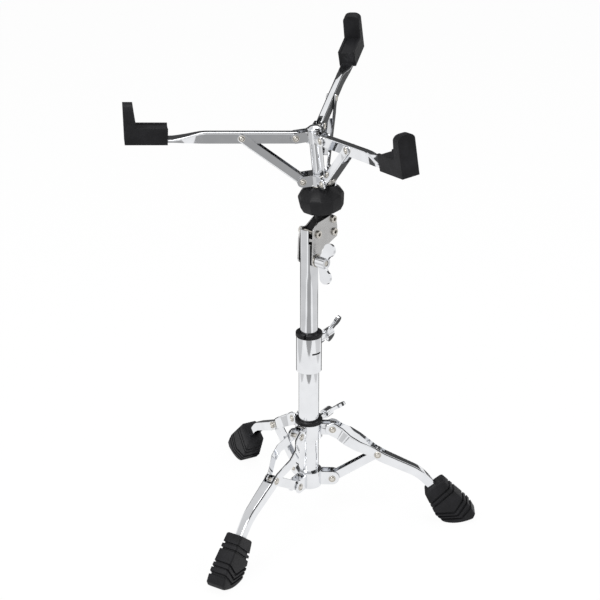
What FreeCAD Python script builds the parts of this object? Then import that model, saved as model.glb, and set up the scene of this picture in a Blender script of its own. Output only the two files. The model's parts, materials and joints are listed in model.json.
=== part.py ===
import FreeCAD, Part
import math
import os
import re
import Sketcher

V = FreeCAD.Vector
Placement = FreeCAD.Placement
Rotation = FreeCAD.Rotation

SIZES = {
    # tube axis over the middle of the footprint
    "axis_x": 0.58,
    "axis_y": -9.78,
    # fits
    "running_gap": 0.08,
    "side_gap": 0.3,
    # base tube and mast
    "base_tube_radius": 11.1,
    "base_tube_wall": 1.2,
    "base_tube_length": 159,
    "mast_gap": 0.35,
    "mast_wall": 1.2,
    "mast_insert": 104,
    "mast_reach": 110,
    "mast_press_low": 36,
    "mast_press_high": 14,
    "mast_front_rise": 15,
    "mast_tab_shoulder": 19,
    "mast_tab_half": 5.5,
    "mast_tab_inner": 6.5,
    "mast_tab_rise": 34,
    # leg linkage
    "leg_hinge_out": 15.1,
    "hub_hinge_height": 8.66,
    "link_length": 58.78,
    "pin_radius": 2.4,
    "head_radius": 4,
    "head_rise": 1.3,
    # lower hub
    "hub_wall": 3.4,
    "hub_tall": 18.5,
    "hub_ear_wall": 1.6,
    "hub_ear_below": 7,
    "hub_ear_above": 8.6,
    # leg strut
    "strut_half_width": 3.9,
    "strut_wall": 1.3,
    "strut_half_height": 5,
    "strut_web_start": 14,
    "strut_web_stop": 16,
    # leg, with places past the knee measured from the knee
    "leg_wall": 1.6,
    "leg_end_radius": 7.5,
    "leg_waist": 9,
    "leg_shoulder_in": 20,
    "leg_shoulder_out": 33,
    "leg_neck_before": 5.78,
    "leg_web_after": 7.22,
    "leg_bend_after": 51.22,
    "leg_end_after": 89.22,
    "leg_bend_lift": 5.2,
    "leg_end_drop": 5.1,
    "leg_shoulder_half": 12.5,
    "knee_gap": 1.1,
    "leg_bend_half": 5.4,
    "leg_end_half": 4.5,
    "leg_shoulder_rise": 6.5,
    "leg_neck_rise": 5.5,
    "leg_bend_rise": 5,
    "leg_end_rise": 4.5,
    # rubber foot, from the end of its leg
    "foot_mouth_back": 20.3,
    "foot_mouth_rise": 5.2,
    "foot_crest_back": 1,
    "foot_crest_rise": 21.4,
    "foot_brow_out": 31.7,
    "foot_brow_drop": 9.8,
    "foot_toe_out": 37.7,
    "foot_toe_drop": 18.8,
    "foot_tip_out": 35.2,
    "foot_tip_drop": 25.8,
    "foot_sole_outer": 21.7,
    "foot_sole_inner": 8.7,
    "foot_sole_drop": 30.5,
    "foot_heel_back": 0.3,
    "foot_heel_drop": 28.3,
    "foot_back_back": 6.8,
    "foot_back_drop": 21.8,
    "foot_wall": 5,
    "foot_flare": 1.75,
    # leg collar
    "collar_bush_wall": 1.82,
    "collar_wall": 1.8,
    "collar_below": 11.1,
    "collar_above": 6.4,
    "collar_ear_half": 3.8,
    "collar_ear_wall": 1.6,
    "collar_ear_below": 7,
    "collar_ear_above": 6,
    "collar_boss_radius": 5.1,
    "collar_boss_out": 9.2,
    "bushing_flange_lip": 0.4,
    "bushing_flange_thick": 4,
    # height clamp, measured from the top of the base tube
    "clamp_wall": 2.7,
    "clamp_below": 19,
    "clamp_above": 21,
    "clamp_slit_rise": 3.2,
    "clamp_slit_thick": 1.8,
    "clamp_slit_half": 5.5,
    "clamp_boss_rise": 10,
    "clamp_boss_radius": 6,
    "clamp_boss_out": 10.2,
    "flange_lip": 0.6,
    "flange_thick": 4.6,
    "flange_split": 1.6,
    # wing bolts, measured from the inner end of the wing
    "wing_shank_radius": 2.9,
    "wing_stand_off": 9,
    "wing_thick": 3.4,
    "wing_hub_radius": 5.2,
    "wing_hub_length": 12,
    "wing_root_in": 3,
    "wing_root_out": 11.5,
    "wing_lobe_reach": 19,
    "wing_lobe_rise": 11.4,
    "wing_lobe_radius": 5.8,
    # tilter plates, measured from the tilt bolt or from the basket post
    "plate_thick": 1.8,
    "plate_foot_radius": 6.8,
    "plate_step_x": 9.6,
    "plate_step_z": 8.3,
    "plate_corner_behind": 7.4,
    "plate_corner_z": 14,
    "plate_side_behind": 9,
    "plate_side_z": 25.5,
    "plate_shoulder_behind": 8,
    "plate_shoulder_z": 37,
    "plate_top_before": 1,
    "plate_top_z": 41,
    "plate_crown_x": 8,
    "plate_brow_z": 35.5,
    "plate_cheek_x": 2.5,
    "plate_cheek_z": 22,
    "far_plate_crown_x": 3,
    "far_plate_crown_z": 32.6,
    "far_plate_dip_x": 11,
    "far_plate_dip_z": 31.5,
    "far_plate_top_before": 4,
    "far_plate_top_z": 36.5,
    "far_plate_brow_z": 28,
    # tilter block and fasteners
    "block_gap": 0.45,
    "block_bottom": 17,
    "block_behind": 6.6,
    "block_top": 47.8,
    "block_neck_wall": 2.3,
    "block_neck_gap": 0.1,
    "block_brow_before": 4,
    "block_brow_z": 37.4,
    "block_chin_in": 3,
    "block_chin_z": 31,
    "block_notch_z": 29,
    "block_crown_z": 38.5,
    "screw_low_x": 5.9,
    "screw_low_z": 28.4,
    "screw_mid_behind": 3.1,
    "screw_mid_z": 20.7,
    "screw_high_behind": 3.5,
    "screw_high_z": 35.4,
    "screw_radius": 2,
    "screw_head_radius": 3.6,
    "screw_head_rise": 2.4,
    "screw_socket_radius": 1.9,
    "screw_socket_deep": 1.5,
    "screw_tail": 4.4,
    "nut_radius": 4.1,
    "nut_rise": 3,
    "tilt_bolt_radius": 3,
    "tilt_bolt_head_radius": 6.4,
    "tilt_bolt_head_rise": 3,
    "tilt_washer_radius": 7.2,
    "tilt_washer_thick": 1,
    "wing_nut_recess": 0.5,
    "wing_nut_hub_radius": 6,
    "wing_nut_hub_length": 12,
    "wing_nut_root_in": 1,
    "wing_nut_root_out": 10,
    "wing_nut_lobe_reach": 13.5,
    "wing_nut_lobe_rise": 14.8,
    "wing_nut_lobe_radius": 7,
    # basket post and knob
    "post_offset": 28,
    "post_radius": 6.5,
    "post_bottom": 24,
    "knob_gap": 0.7,
    "knob_foot_radius": 21.6,
    "knob_belt_radius": 24.4,
    "knob_belt_rise": 13.6,
    "knob_lip_radius": 24,
    "knob_lip_rise": 15.6,
    "knob_dome_radius": 19.2,
    "knob_dome_rise": 20.6,
    "knob_brow_radius": 14.4,
    "knob_brow_rise": 24.8,
    "knob_top_radius": 12,
    "knob_rise": 26.8,
    "knob_facet_radius": 24.8,
    "insert_wall": 1.62,
    "insert_inset": 1,
    "washer_lip": 4.3,
    "washer_thick": 0.8,
    "washer_gap": 0.2,
    "cap_lip": 1,
    "cap_rim": 1.5,
    "cap_brow_inset": 0.9,
    "cap_brow_rise": 3.4,
    "cap_rise": 4.4,
    # basket hubs
    "basket_depth": 48.7,
    "top_hub_wall": 3.3,
    "top_hinge_out": 10.6,
    "top_below": 7.5,
    "top_ear_wall": 1.5,
    "top_ear_half_tall": 5.5,
    "slider_wall": 3.92,
    "slider_tall": 11.7,
    "slider_hinge_out": 7.5,
    "slider_hinge_rise": 6.5,
    "slider_ear_wall": 1.5,
    "slider_ear_half_tall": 6,
    # basket arms, with the bends measured back from the end
    "arm_strut_pivot": 55.7,
    "arm_half_width": 3.6,
    "arm_wall": 1.5,
    "arm_half_tall": 6,
    "arm_web_start": 10,
    "arm_end": 165,
    "arm_straight_back": 73,
    "arm_bend_a_back": 61,
    "arm_bend_a_top": 4,
    "arm_bend_b_back": 45,
    "arm_bend_b_top": 0.2,
    "arm_bend_low_back": 55,
    "arm_bend_low_drop": 5,
    "arm_tongue_back": 39,
    "arm_tongue_drop": 1,
    "arm_tongue_thick": 2.6,
    "arm_tongue_half": 7,
    "arm_pin_radius": 2,
    "arm_head_radius": 3.6,
    # rubber grip
    "grip_start_back": 34,
    "grip_end_out": 9.3,
    "grip_wall": 2.25,
    "grip_floor": 1.9,
    "grip_seat": 12,
    "grip_top": 36,
    "grip_lean": 2.3,
    "grip_root_thick": 11.5,
    "grip_top_thick": 10,
    # basket strut
    "brace_wall": 1.3,
    "brace_half_width": 5.5,
    "brace_half_tall": 4.5,
    "brace_joggle_start": 9,
    "brace_joggle_stop": 15,
    "brace_web_start": 22,
    "brace_web_stop": 18,
    "brace_slot_length": 3.2,
    "brace_slot_gap": 0.3,
}
ANGLES = {
    "leg_azimuth_angle": -1.8,
    "leg_spread_angle": 58.2,
    "wing_azimuth_angle": 58.2,
    "height_wing_angle": 22,
    "collar_wing_angle": 58,
    "clamp_slit_angle": -52,
    "flange_split_angle": -108,
    "tilt_azimuth_angle": 48.72,
    "tilt_rest_angle": 8.39,
    "wing_nut_angle": -20,
    "arm_rise_angle": 8.85,
    "arm_left_angle": 139,
    "arm_front_angle": 248.7,
    "arm_rear_angle": 26,
    "brace_slot_angle": 31,
}

doc = FreeCAD.newDocument("snare_drum_stand")
sheet = doc.addObject("Spreadsheet::Sheet", "Sizes")
NAMES = list(SIZES) + list(ANGLES)
for row, number in enumerate(list(SIZES.values()) + list(ANGLES.values())):
    sheet.set("A%d" % (row + 1), NAMES[row])
    sheet.set("B%d" % (row + 1), str(number))
    sheet.setAlias("B%d" % (row + 1), NAMES[row])
doc.recompute()


# expressions over the sheet
def formula(text):
    def cell(match):
        word = match.group()
        return "Sizes." + word if word in NAMES else word
    return re.sub(r"[a-z][a-z_]*", cell, text)


def value(text):
    return float(sheet.evalExpression(formula(text)))


def bind(item, **links):
    for key, text in links.items():
        item.setExpression(key.replace("__", "."), formula(text))
    return item


# building blocks
XY = Rotation()
XZ = Rotation(V(1, 0, 0), 90)
YZ = Rotation(V(1, 1, 1), 120)
ALONG_Y = Rotation(V(1, 0, 0), -90)
ALONG_X = Rotation(V(0, 1, 0), 90)


def outline(name, points, plane):
    sketch = doc.addObject("Sketcher::SketchObject", name)
    sketch.Placement = Placement(V(), plane)
    corners = [V(value(a), value(b), 0) for a, b in points]
    count = len(corners)
    for i in range(count):
        sketch.addGeometry(Part.LineSegment(corners[i], corners[(i + 1) % count]), False)
    for i in range(count):
        sketch.addConstraint(Sketcher.Constraint("Coincident", i, 2, (i + 1) % count, 1))
    for i, pair in enumerate(points):
        for axis, text, line in (("DistanceX", pair[0], -2), ("DistanceY", pair[1], -1)):
            if text == "0":
                sketch.addConstraint(Sketcher.Constraint("PointOnObject", i, 1, line))
            elif value(text) > 0:
                row = sketch.addConstraint(Sketcher.Constraint(axis, -1, 1, i, 1, value(text)))
                sketch.setExpression("Constraints[%d]" % row, formula(text))
            else:
                row = sketch.addConstraint(Sketcher.Constraint(axis, i, 1, -1, 1, -value(text)))
                sketch.setExpression("Constraints[%d]" % row, formula("-(%s)" % text))
    return sketch


def extrude(name, points, plane, width):
    item = doc.addObject("Part::Extrusion", name)
    item.Base = outline(name + "_outline", points, plane)
    item.DirMode = "Normal"
    item.Solid = True
    item.Symmetric = True
    return bind(item, LengthFwd=width)


def turn(name, points):
    item = doc.addObject("Part::Revolution", name)
    item.Source = outline(name + "_outline", points, XZ)
    item.Axis = V(0, 0, 1)
    item.Angle = 360
    item.Solid = True
    return item


def rod(name, radius, length, x="0", y="0", z="0", rotation=XY):
    item = doc.addObject("Part::Cylinder", name)
    item.Placement = Placement(V(), rotation)
    bind(item, Radius=radius, Height=length)
    return bind(item, Placement__Base__x=x, Placement__Base__y=y, Placement__Base__z=z)


def cross_rod(name, radius, half, x, z):
    return rod(name, radius, "2 * (%s)" % half, x, "-(%s)" % half, z, ALONG_Y)


def box(name, length, width, height, x, z):
    item = doc.addObject("Part::Box", name)
    middle = "-(%s) / 2" % width
    return bind(
        item, Length=length, Width=width, Height=height,
        Placement__Base__x=x, Placement__Base__y=middle, Placement__Base__z=z,
    )


def fuse(name, items):
    item = doc.addObject("Part::MultiFuse", name)
    item.Shapes = items
    item.Refine = True
    return item


def common(name, items):
    item = doc.addObject("Part::MultiCommon", name)
    item.Shapes = items
    return item


def cut(name, base, tools):
    item = doc.addObject("Part::Cut", name)
    item.Base = base
    item.Tool = tools[0] if len(tools) == 1 else fuse(name + "_tools", tools)
    return item


def placed(name, items, where):
    item = doc.addObject("Part::Compound", name)
    item.Links = items
    item.Placement = where
    return item


def tube(name, inner, outer, bottom, top):
    length = "(%s) - (%s)" % (top, bottom)
    body = rod(name + "_rod", outer, length, z=bottom)
    return cut(name + "_ring", body, [rod(name + "_bore", inner, length, z=bottom)])


def mirrored(points):
    return [(a, "-(%s)" % b) for a, b in reversed(points)]


NODES = []


def node(label, items, where):
    item = placed(label, items, where)
    item.Label = label
    NODES.append(item)


# frames
def shift(x="0", y="0", z="0"):
    return Placement(V(value(x), value(y), value(z)), Rotation())


def swing(axis, text):
    return Placement(V(), Rotation(axis, value(text)))


AXIS_X = V(1, 0, 0)
AXIS_Y = V(0, 1, 0)
AXIS_Z = V(0, 0, 1)
TURNS = {
    "right": "leg_azimuth_angle",
    "rear": "leg_azimuth_angle + 120",
    "front": "leg_azimuth_angle + 240",
}
LEG_RADIUS = "base_tube_radius + leg_hinge_out"
COLLAR_HEIGHT = "hub_hinge_height + 2 * link_length * cos(leg_spread_angle * 1deg)"
LEG_END = "(link_length + leg_end_after)"
LEG_SEAT = shift(LEG_RADIUS, z=COLLAR_HEIGHT) * swing(AXIS_Y, "90 - leg_spread_angle")
STRUT_SEAT = shift(LEG_RADIUS, z="hub_hinge_height") * swing(AXIS_Y, "leg_spread_angle - 90")
ACROSS = "%s * sin(leg_spread_angle * 1deg) - leg_end_drop * cos(leg_spread_angle * 1deg)" % LEG_END
DOWN = "%s * cos(leg_spread_angle * 1deg) + leg_end_drop * sin(leg_spread_angle * 1deg)" % LEG_END
FOOT_HEIGHT = "%s - (%s)" % (COLLAR_HEIGHT, DOWN)
FOOT_SEAT = shift("%s + %s" % (LEG_RADIUS, ACROSS), z=FOOT_HEIGHT)
STAND = shift("axis_x", "axis_y", "foot_sole_drop - (%s)" % FOOT_HEIGHT)
MAST_RADIUS = "(base_tube_radius - base_tube_wall - mast_gap)"
TILT_HEIGHT = "base_tube_length + mast_reach"
MAST = STAND * swing(AXIS_Z, "tilt_azimuth_angle")
HEAD = MAST * shift(z=TILT_HEIGHT) * swing(AXIS_Y, "-tilt_rest_angle")
POST = HEAD * shift("post_offset")
POST_BORE = "post_radius + running_gap"
KNOB_BOTTOM = "block_top + knob_gap"
KNOB_TOP = KNOB_BOTTOM + " + knob_rise"
WASHER_TOP = KNOB_TOP + " + washer_gap + washer_thick"
SLIDER_OUTER = POST_BORE + " + slider_wall"
SLIDER_RADIUS = SLIDER_OUTER + " + slider_hinge_out"
SLIDER_HEIGHT = WASHER_TOP + " + slider_hinge_rise"
TOP_OUTER = "post_radius + top_hub_wall"
TOP_RADIUS = TOP_OUTER + " + top_hinge_out"
TOP_HEIGHT = SLIDER_HEIGHT + " + basket_depth"
POST_TOP = TOP_HEIGHT + " + top_ear_half_tall"
ARMS = {"left": "arm_left_angle", "front": "arm_front_angle", "rear": "arm_rear_angle"}
ARM_SEAT = shift(TOP_RADIUS, z=TOP_HEIGHT) * swing(AXIS_Y, "-arm_rise_angle")
PIVOT_RADIUS = TOP_RADIUS + " + arm_strut_pivot * cos(arm_rise_angle * 1deg)"
PIVOT_HEIGHT = TOP_HEIGHT + " + arm_strut_pivot * sin(arm_rise_angle * 1deg)"
BRACE_RUN = "(%s - (%s))" % (PIVOT_RADIUS, SLIDER_RADIUS)
BRACE_FALL = "(%s - (%s))" % (PIVOT_HEIGHT, SLIDER_HEIGHT)
BRACE_LENGTH = "sqrt(%s ^ 2 + %s ^ 2)" % (BRACE_RUN, BRACE_FALL)
BRACE_RISE = math.degrees(math.atan2(value(BRACE_FALL), value(BRACE_RUN)))
BRACE_SEAT = shift(PIVOT_RADIUS, z=PIVOT_HEIGHT) * Placement(V(), Rotation(AXIS_Y, 180 - BRACE_RISE))


def leg_frame(side):
    return STAND * swing(AXIS_Z, TURNS[side])


def arm_frame(side):
    return POST * swing(AXIS_Z, ARMS[side])


# shared shapes
def clevis_hub(name, bore, outer, bottom, top, radius, height, half_in, wall, below, above, turns, hole):
    half_out = "(%s) + (%s)" % (half_in, wall)
    low = "(%s) - (%s)" % (height, below)
    high = "(%s) + (%s)" % (height, above)
    width = "2 * (%s)" % half_out
    side = [("0", low), (radius, low), (radius, high), ("0", high)]
    flap = extrude(name + "_flap", side, XZ, width)
    round_off = "((%s) + (%s)) / 2" % (below, above)
    end = cross_rod(name + "_end", round_off, half_out, radius, "((%s) + (%s)) / 2" % (low, high))
    ear = fuse(name + "_ear", [flap, end])
    deep = "(%s) + (%s)" % (below, above)
    reach = "(%s) + (%s)" % (radius, deep)
    gap_low = "(%s) - (%s)" % (low, deep)
    gap = box(name + "_gap", reach, "2 * (%s)" % half_in, "3 * (%s)" % deep, outer, gap_low)
    pin = cross_rod(name + "_hole", hole, width, radius, height)
    ears = [placed(name + "_ears", [ear], swing(AXIS_Z, t)) for t in turns]
    notch = fuse(name + "_notch", [gap, pin])
    gaps = [placed(name + "_gaps", [notch], swing(AXIS_Z, t)) for t in turns]
    ring = rod(name + "_rod", outer, "(%s) - (%s)" % (top, bottom), z=bottom)
    length = "(%s) - (%s) + 2 * (%s)" % (top, bottom, deep)
    inside = rod(name + "_bore", bore, length, z="(%s) - (%s)" % (bottom, deep))
    return cut(name + "_clevis", fuse(name + "_body", [ring] + ears), gaps + [inside])


def channel(name, top, bottom, widths, wall, web, web_reach, ends, holes):
    reach = "4 * (%s)" % max((w for _, w in widths), key=value)
    bodies = [extrude(name + "_side", top + list(reversed(bottom)), XZ, reach)]
    for i, (x, z, radius) in enumerate(ends):
        bodies.append(cross_rod(name + "_end%d" % i, radius, "(%s) / 2" % reach, x, z))
    side = fuse(name + "_sides", bodies)
    inner = [(x, "(%s) - (%s)" % (w, wall)) for x, w in widths]
    strip = widths + list(reversed(inner))
    near = extrude(name + "_near", strip, XY, "2 * (%s)" % reach)
    far = extrude(name + "_far", mirrored(strip), XY, "2 * (%s)" % reach)
    cheeks = common(name + "_cheeks", [side, fuse(name + "_strips", [near, far])])
    band = web + [(x, "%s + (%s)" % (z, web_reach)) for x, z in reversed(web)]
    cover = extrude(name + "_band", band, XZ, reach)
    plan = extrude(name + "_plan", widths + mirrored(widths), XY, "2 * (%s)" % reach)
    bridge = common(name + "_bridge", [side, cover, plan])
    drills = []
    for i, (x, z, radius) in enumerate(holes):
        drills.append(cross_rod(name + "_hole%d" % i, radius, reach, x, z))
    return cut(name + "_channel", fuse(name + "_whole", [cheeks, bridge]), drills)


def rivet(name, pin, half, head, x, z):
    shank = cross_rod(name + "_pin", pin, half, x, z)
    heads = []
    for i, sign in enumerate(("-", "")):
        dome = doc.addObject("Part::Cone", name + "_head%d" % i)
        dome.Placement = Placement(V(), Rotation(V(1, 0, 0), 90 if sign else -90))
        bind(dome, Radius1=head, Radius2="(%s) / 2" % head, Height="head_rise")
        seat = "%s(%s)" % (sign, half)
        bind(dome, Placement__Base__x=x, Placement__Base__y=seat, Placement__Base__z=z)
        heads.append(dome)
    return fuse(name + "_rivet", [shank] + heads)


def wing_grip(name, start, kind):
    hub = rod(name + "_hub", kind + "_hub_radius", kind + "_hub_length", x=start, rotation=ALONG_X)
    parts = [hub]
    reach = "%s + %s_lobe_reach" % (start, kind)
    radius = kind + "_lobe_radius"
    for i, sign in enumerate(("", "-")):
        rise = "%s%s_lobe_rise" % (sign, kind)
        paddle = [
            ("%s + %s_root_in" % (start, kind), "0"),
            ("%s + %s_root_out" % (start, kind), "0"),
            ("%s + %s" % (reach, radius), rise),
            ("%s - %s" % (reach, radius), rise),
        ]
        parts.append(extrude(name + "_paddle%d" % i, paddle, XZ, "wing_thick"))
        parts.append(cross_rod(name + "_lobe%d" % i, radius, "wing_thick / 2", reach, rise))
    return fuse(name + "_grip", parts)


PIN_HOLE = "pin_radius + running_gap"
ARM_HOLE = "arm_pin_radius + running_gap"

# base tube and lower hub
node("base_tube", [
    tube("base", "base_tube_radius - base_tube_wall", "base_tube_radius", "0", "base_tube_length")
], STAND)
lower_hub = clevis_hub(
    "lower", "base_tube_radius", "base_tube_radius + hub_wall", "0", "hub_tall", LEG_RADIUS,
    "hub_hinge_height", "strut_half_width + side_gap", "hub_ear_wall", "hub_ear_below", "hub_ear_above",
    TURNS.values(), "pin_radius",
)
node("lower_hub", [lower_hub], STAND)
HUB_HALF = "strut_half_width + side_gap + hub_ear_wall"
hub_rivet = rivet("hub", "pin_radius", HUB_HALF, "head_radius", LEG_RADIUS, "hub_hinge_height")
hub_rivets = [placed("hub_rivets", [hub_rivet], swing(AXIS_Z, t)) for t in TURNS.values()]
node("lower_hub_rivets", hub_rivets, STAND)

# height clamp, bushing and wing bolt
CLAMP_OUTER = "base_tube_radius + clamp_wall"
CLAMP_LOW = "base_tube_length - clamp_below"
CLAMP_TOP = "base_tube_length + clamp_above"
CLAMP_REACH = CLAMP_OUTER + " + clamp_boss_out"
CLAMP_BOLT = "base_tube_length + clamp_boss_rise"
BOLT_HOLE = "wing_shank_radius + running_gap"
sleeve = rod("sleeve", CLAMP_OUTER, "clamp_below + clamp_above", z=CLAMP_LOW)
boss = rod("clamp_boss", "clamp_boss_radius", CLAMP_REACH, z=CLAMP_BOLT, rotation=ALONG_X)
bolt_hole = rod("clamp_hole", BOLT_HOLE, "2 * (%s)" % CLAMP_REACH, z=CLAMP_BOLT, rotation=ALONG_X)
slit = box(
    "clamp_slit", "2 * base_tube_radius", "2 * clamp_slit_half", "clamp_slit_thick",
    "0", "base_tube_length + clamp_slit_rise",
)
wing_turn = swing(AXIS_Z, "wing_azimuth_angle")
clamp = cut("clamp_cut", fuse("clamp_body", [sleeve, placed("clamp_bosses", [boss], wing_turn)]), [
    rod("clamp_bore", "base_tube_radius", CLAMP_TOP, z="(%s) / 2" % CLAMP_LOW),
    placed("clamp_drill", [bolt_hole], wing_turn),
    placed("clamp_slits", [slit], swing(AXIS_Z, "clamp_slit_angle")),
])
node("height_clamp", [clamp], STAND)
FLANGE_RADIUS = CLAMP_OUTER + " + flange_lip"
FLANGE_LOW = CLAMP_TOP + " + side_gap"
FLANGE_TOP = FLANGE_LOW + " + flange_thick"
SPIGOT = "base_tube_radius - running_gap"
SPIGOT_LOW = "base_tube_length + side_gap"
BUSH_BORE = MAST_RADIUS + " + running_gap"
bush = turn("bush", [
    (BUSH_BORE, SPIGOT_LOW),
    (SPIGOT, SPIGOT_LOW),
    (SPIGOT, FLANGE_LOW),
    (FLANGE_RADIUS, FLANGE_LOW),
    (FLANGE_RADIUS, FLANGE_TOP),
    (BUSH_BORE, FLANGE_TOP),
])
split = box("bush_split", "2 * (%s)" % FLANGE_RADIUS, "flange_split", CLAMP_TOP, "0", "base_tube_length")
splits = placed("bush_splits", [split], swing(AXIS_Z, "flange_split_angle"))
node("height_bushing", [cut("bush_cut", bush, [splits])], STAND)


def wing_bolt(name, tip, boss_reach, height, roll):
    start = boss_reach + " + wing_stand_off"
    grip = wing_grip(name, start, "wing")
    length = "%s + wing_hub_length - (%s)" % (start, tip)
    shank = rod(name + "_shank", "wing_shank_radius", length, x=tip, rotation=ALONG_X)
    seat = shift(z=height) * swing(AXIS_X, roll)
    return placed(name + "_seat", [fuse(name + "_fused", [shank, grip])], seat)


node("height_wing_bolt", [
    wing_bolt("height", "base_tube_radius + side_gap", CLAMP_REACH, CLAMP_BOLT, "height_wing_angle")
], STAND * wing_turn)

# mast with its pressed and notched head
MAST_BOTTOM = "base_tube_length - mast_insert"
MAST_FRONT = TILT_HEIGHT + " + mast_front_rise"
MAST_TOP = TILT_HEIGHT + " + mast_tab_rise"
MAST_INNER = MAST_RADIUS + " - mast_wall"
PLATE_IN = "post_radius + block_neck_wall + block_neck_gap"
PRESS_HALF = PLATE_IN + " - side_gap"
PRESS_START = TILT_HEIGHT + " - mast_press_low"
PRESS_END = TILT_HEIGHT + " - mast_press_high"
TAB_SHOULDER = TILT_HEIGHT + " + mast_tab_shoulder"
MAST_WIDE = "4 * " + MAST_RADIUS
mast_side = extrude("mast_side", [
    ("-2 * " + MAST_RADIUS, MAST_BOTTOM),
    ("2 * " + MAST_RADIUS, MAST_BOTTOM),
    ("2 * " + MAST_RADIUS, MAST_FRONT),
    ("-mast_tab_inner", MAST_FRONT),
    ("-mast_tab_inner", MAST_TOP),
    ("-2 * " + MAST_RADIUS, MAST_TOP),
], XZ, MAST_WIDE)
press = [
    (MAST_RADIUS, MAST_BOTTOM),
    (MAST_RADIUS, PRESS_START),
    (PRESS_HALF, PRESS_END),
    (PRESS_HALF, TAB_SHOULDER),
    ("mast_tab_half", TAB_SHOULDER),
    ("mast_tab_half", MAST_TOP),
]
hollow = [
    (MAST_INNER, MAST_BOTTOM),
    (MAST_INNER, PRESS_START),
    (PRESS_HALF + " - mast_wall", PRESS_END),
    (PRESS_HALF + " - mast_wall", MAST_TOP),
]


def two_sided(points):
    return points + [("-(%s)" % a, b) for a, b in reversed(points)]


mast_press = extrude("mast_press", two_sided(press), YZ, MAST_WIDE)
mast_hollow = extrude("mast_hollow", two_sided(hollow), YZ, MAST_WIDE)
mast_rod = rod("mast_rod", MAST_RADIUS, MAST_TOP, z="(%s) / 2" % MAST_BOTTOM)
mast_bore = rod("mast_bore", MAST_INNER, MAST_TOP, z="(%s) / 2" % MAST_BOTTOM)
mast = cut("mast_cut", common("mast_body", [mast_rod, mast_side, mast_press]), [
    common("mast_inside", [mast_bore, mast_hollow]),
    cross_rod("mast_hole", "tilt_bolt_radius + running_gap", "2 * " + MAST_RADIUS, "0", TILT_HEIGHT),
])
node("mast_tube", [mast], MAST)

# legs, feet and leg struts
LEG_NECK = "link_length - leg_neck_before"
LEG_WEB = "link_length + leg_web_after"
LEG_BEND = "link_length + leg_bend_after"
LEG_HINGE_HALF = "collar_ear_half + collar_ear_wall + side_gap + leg_wall"
KNEE_HALF = "strut_half_width + knee_gap + leg_wall"
leg_top = [
    ("0", "leg_end_radius"),
    ("leg_shoulder_in", "leg_shoulder_rise"),
    (LEG_NECK, "leg_neck_rise"),
    (LEG_WEB, "leg_neck_rise"),
    (LEG_BEND, "leg_bend_lift + leg_bend_rise"),
    (LEG_END, "leg_end_rise - leg_end_drop"),
]
leg_bottom = [
    ("0", "-leg_end_radius"),
    ("leg_shoulder_in", "-leg_shoulder_rise"),
    (LEG_NECK, "-leg_neck_rise"),
    (LEG_WEB, "-leg_neck_rise"),
    (LEG_BEND, "leg_bend_lift - leg_bend_rise"),
    (LEG_END, "-leg_end_rise - leg_end_drop"),
]
leg_widths = [
    ("-leg_end_radius", LEG_HINGE_HALF),
    ("leg_waist", LEG_HINGE_HALF),
    ("leg_shoulder_in", "leg_shoulder_half"),
    ("leg_shoulder_out", "leg_shoulder_half"),
    (LEG_NECK, KNEE_HALF),
    (LEG_WEB, KNEE_HALF),
    (LEG_BEND, "leg_bend_half"),
    (LEG_END, "leg_end_half"),
]
leg_web = [
    (LEG_WEB, "leg_neck_rise - leg_wall"),
    (LEG_BEND, "leg_bend_lift + leg_bend_rise - leg_wall"),
    (LEG_END, "leg_end_rise - leg_end_drop - leg_wall"),
]
leg = channel(
    "leg", leg_top, leg_bottom, leg_widths, "leg_wall", leg_web, "4 * leg_wall",
    [("0", "0", "leg_end_radius")],
    [("0", "0", PIN_HOLE), ("link_length", "0", "pin_radius")],
)
strut_top = [("0", "strut_half_height"), ("link_length", "strut_half_height")]
strut_bottom = [("0", "-strut_half_height"), ("link_length", "-strut_half_height")]
strut_widths = [
    ("-strut_half_height", "strut_half_width"),
    ("link_length + strut_half_height", "strut_half_width"),
]
strut_web = [
    ("strut_web_start", "strut_wall - strut_half_height"),
    ("link_length - strut_web_stop", "strut_wall - strut_half_height"),
]
strut = channel(
    "strut", strut_top, strut_bottom, strut_widths, "strut_wall", strut_web, "-4 * strut_wall",
    [("0", "0", "strut_half_height"), ("link_length", "0", "strut_half_height")],
    [("0", "0", PIN_HOLE), ("link_length", "0", PIN_HOLE)],
)
strut_rivet = rivet("knee", "pin_radius", KNEE_HALF, "head_radius", "link_length", "0")
foot_side = extrude("foot_side", [
    ("-foot_mouth_back", "foot_mouth_rise"),
    ("-foot_crest_back", "foot_crest_rise"),
    ("foot_brow_out", "-foot_brow_drop"),
    ("foot_toe_out", "-foot_toe_drop"),
    ("foot_tip_out", "-foot_tip_drop"),
    ("foot_sole_outer", "-foot_sole_drop"),
    ("foot_sole_inner", "-foot_sole_drop"),
    ("-foot_heel_back", "-foot_heel_drop"),
    ("-foot_back_back", "-foot_back_drop"),
], XZ, "4 * (leg_end_half + foot_wall + foot_flare)")
FOOT_TOP_HALF = "leg_end_half + foot_wall"
FOOT_SOLE_HALF = "leg_end_half + foot_wall + foot_flare"
foot_taper = extrude("foot_taper", [
    (FOOT_SOLE_HALF, "-foot_sole_drop"),
    (FOOT_TOP_HALF, "foot_crest_rise"),
    ("-(%s)" % FOOT_TOP_HALF, "foot_crest_rise"),
    ("-(%s)" % FOOT_SOLE_HALF, "-foot_sole_drop"),
], YZ, "4 * foot_toe_out")
socket = common("socket", [
    extrude("socket_side", leg_top[-2:] + list(reversed(leg_bottom[-2:])), XZ, "4 * leg_bend_half"),
    extrude("socket_plan", leg_widths[-2:] + mirrored(leg_widths[-2:]), XY, "8 * leg_bend_half"),
])
foot_socket = placed("foot_socket", [socket], FOOT_SEAT.inverse() * LEG_SEAT)
foot = cut("foot_cut", common("foot_body", [foot_side, foot_taper]), [foot_socket])
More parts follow.
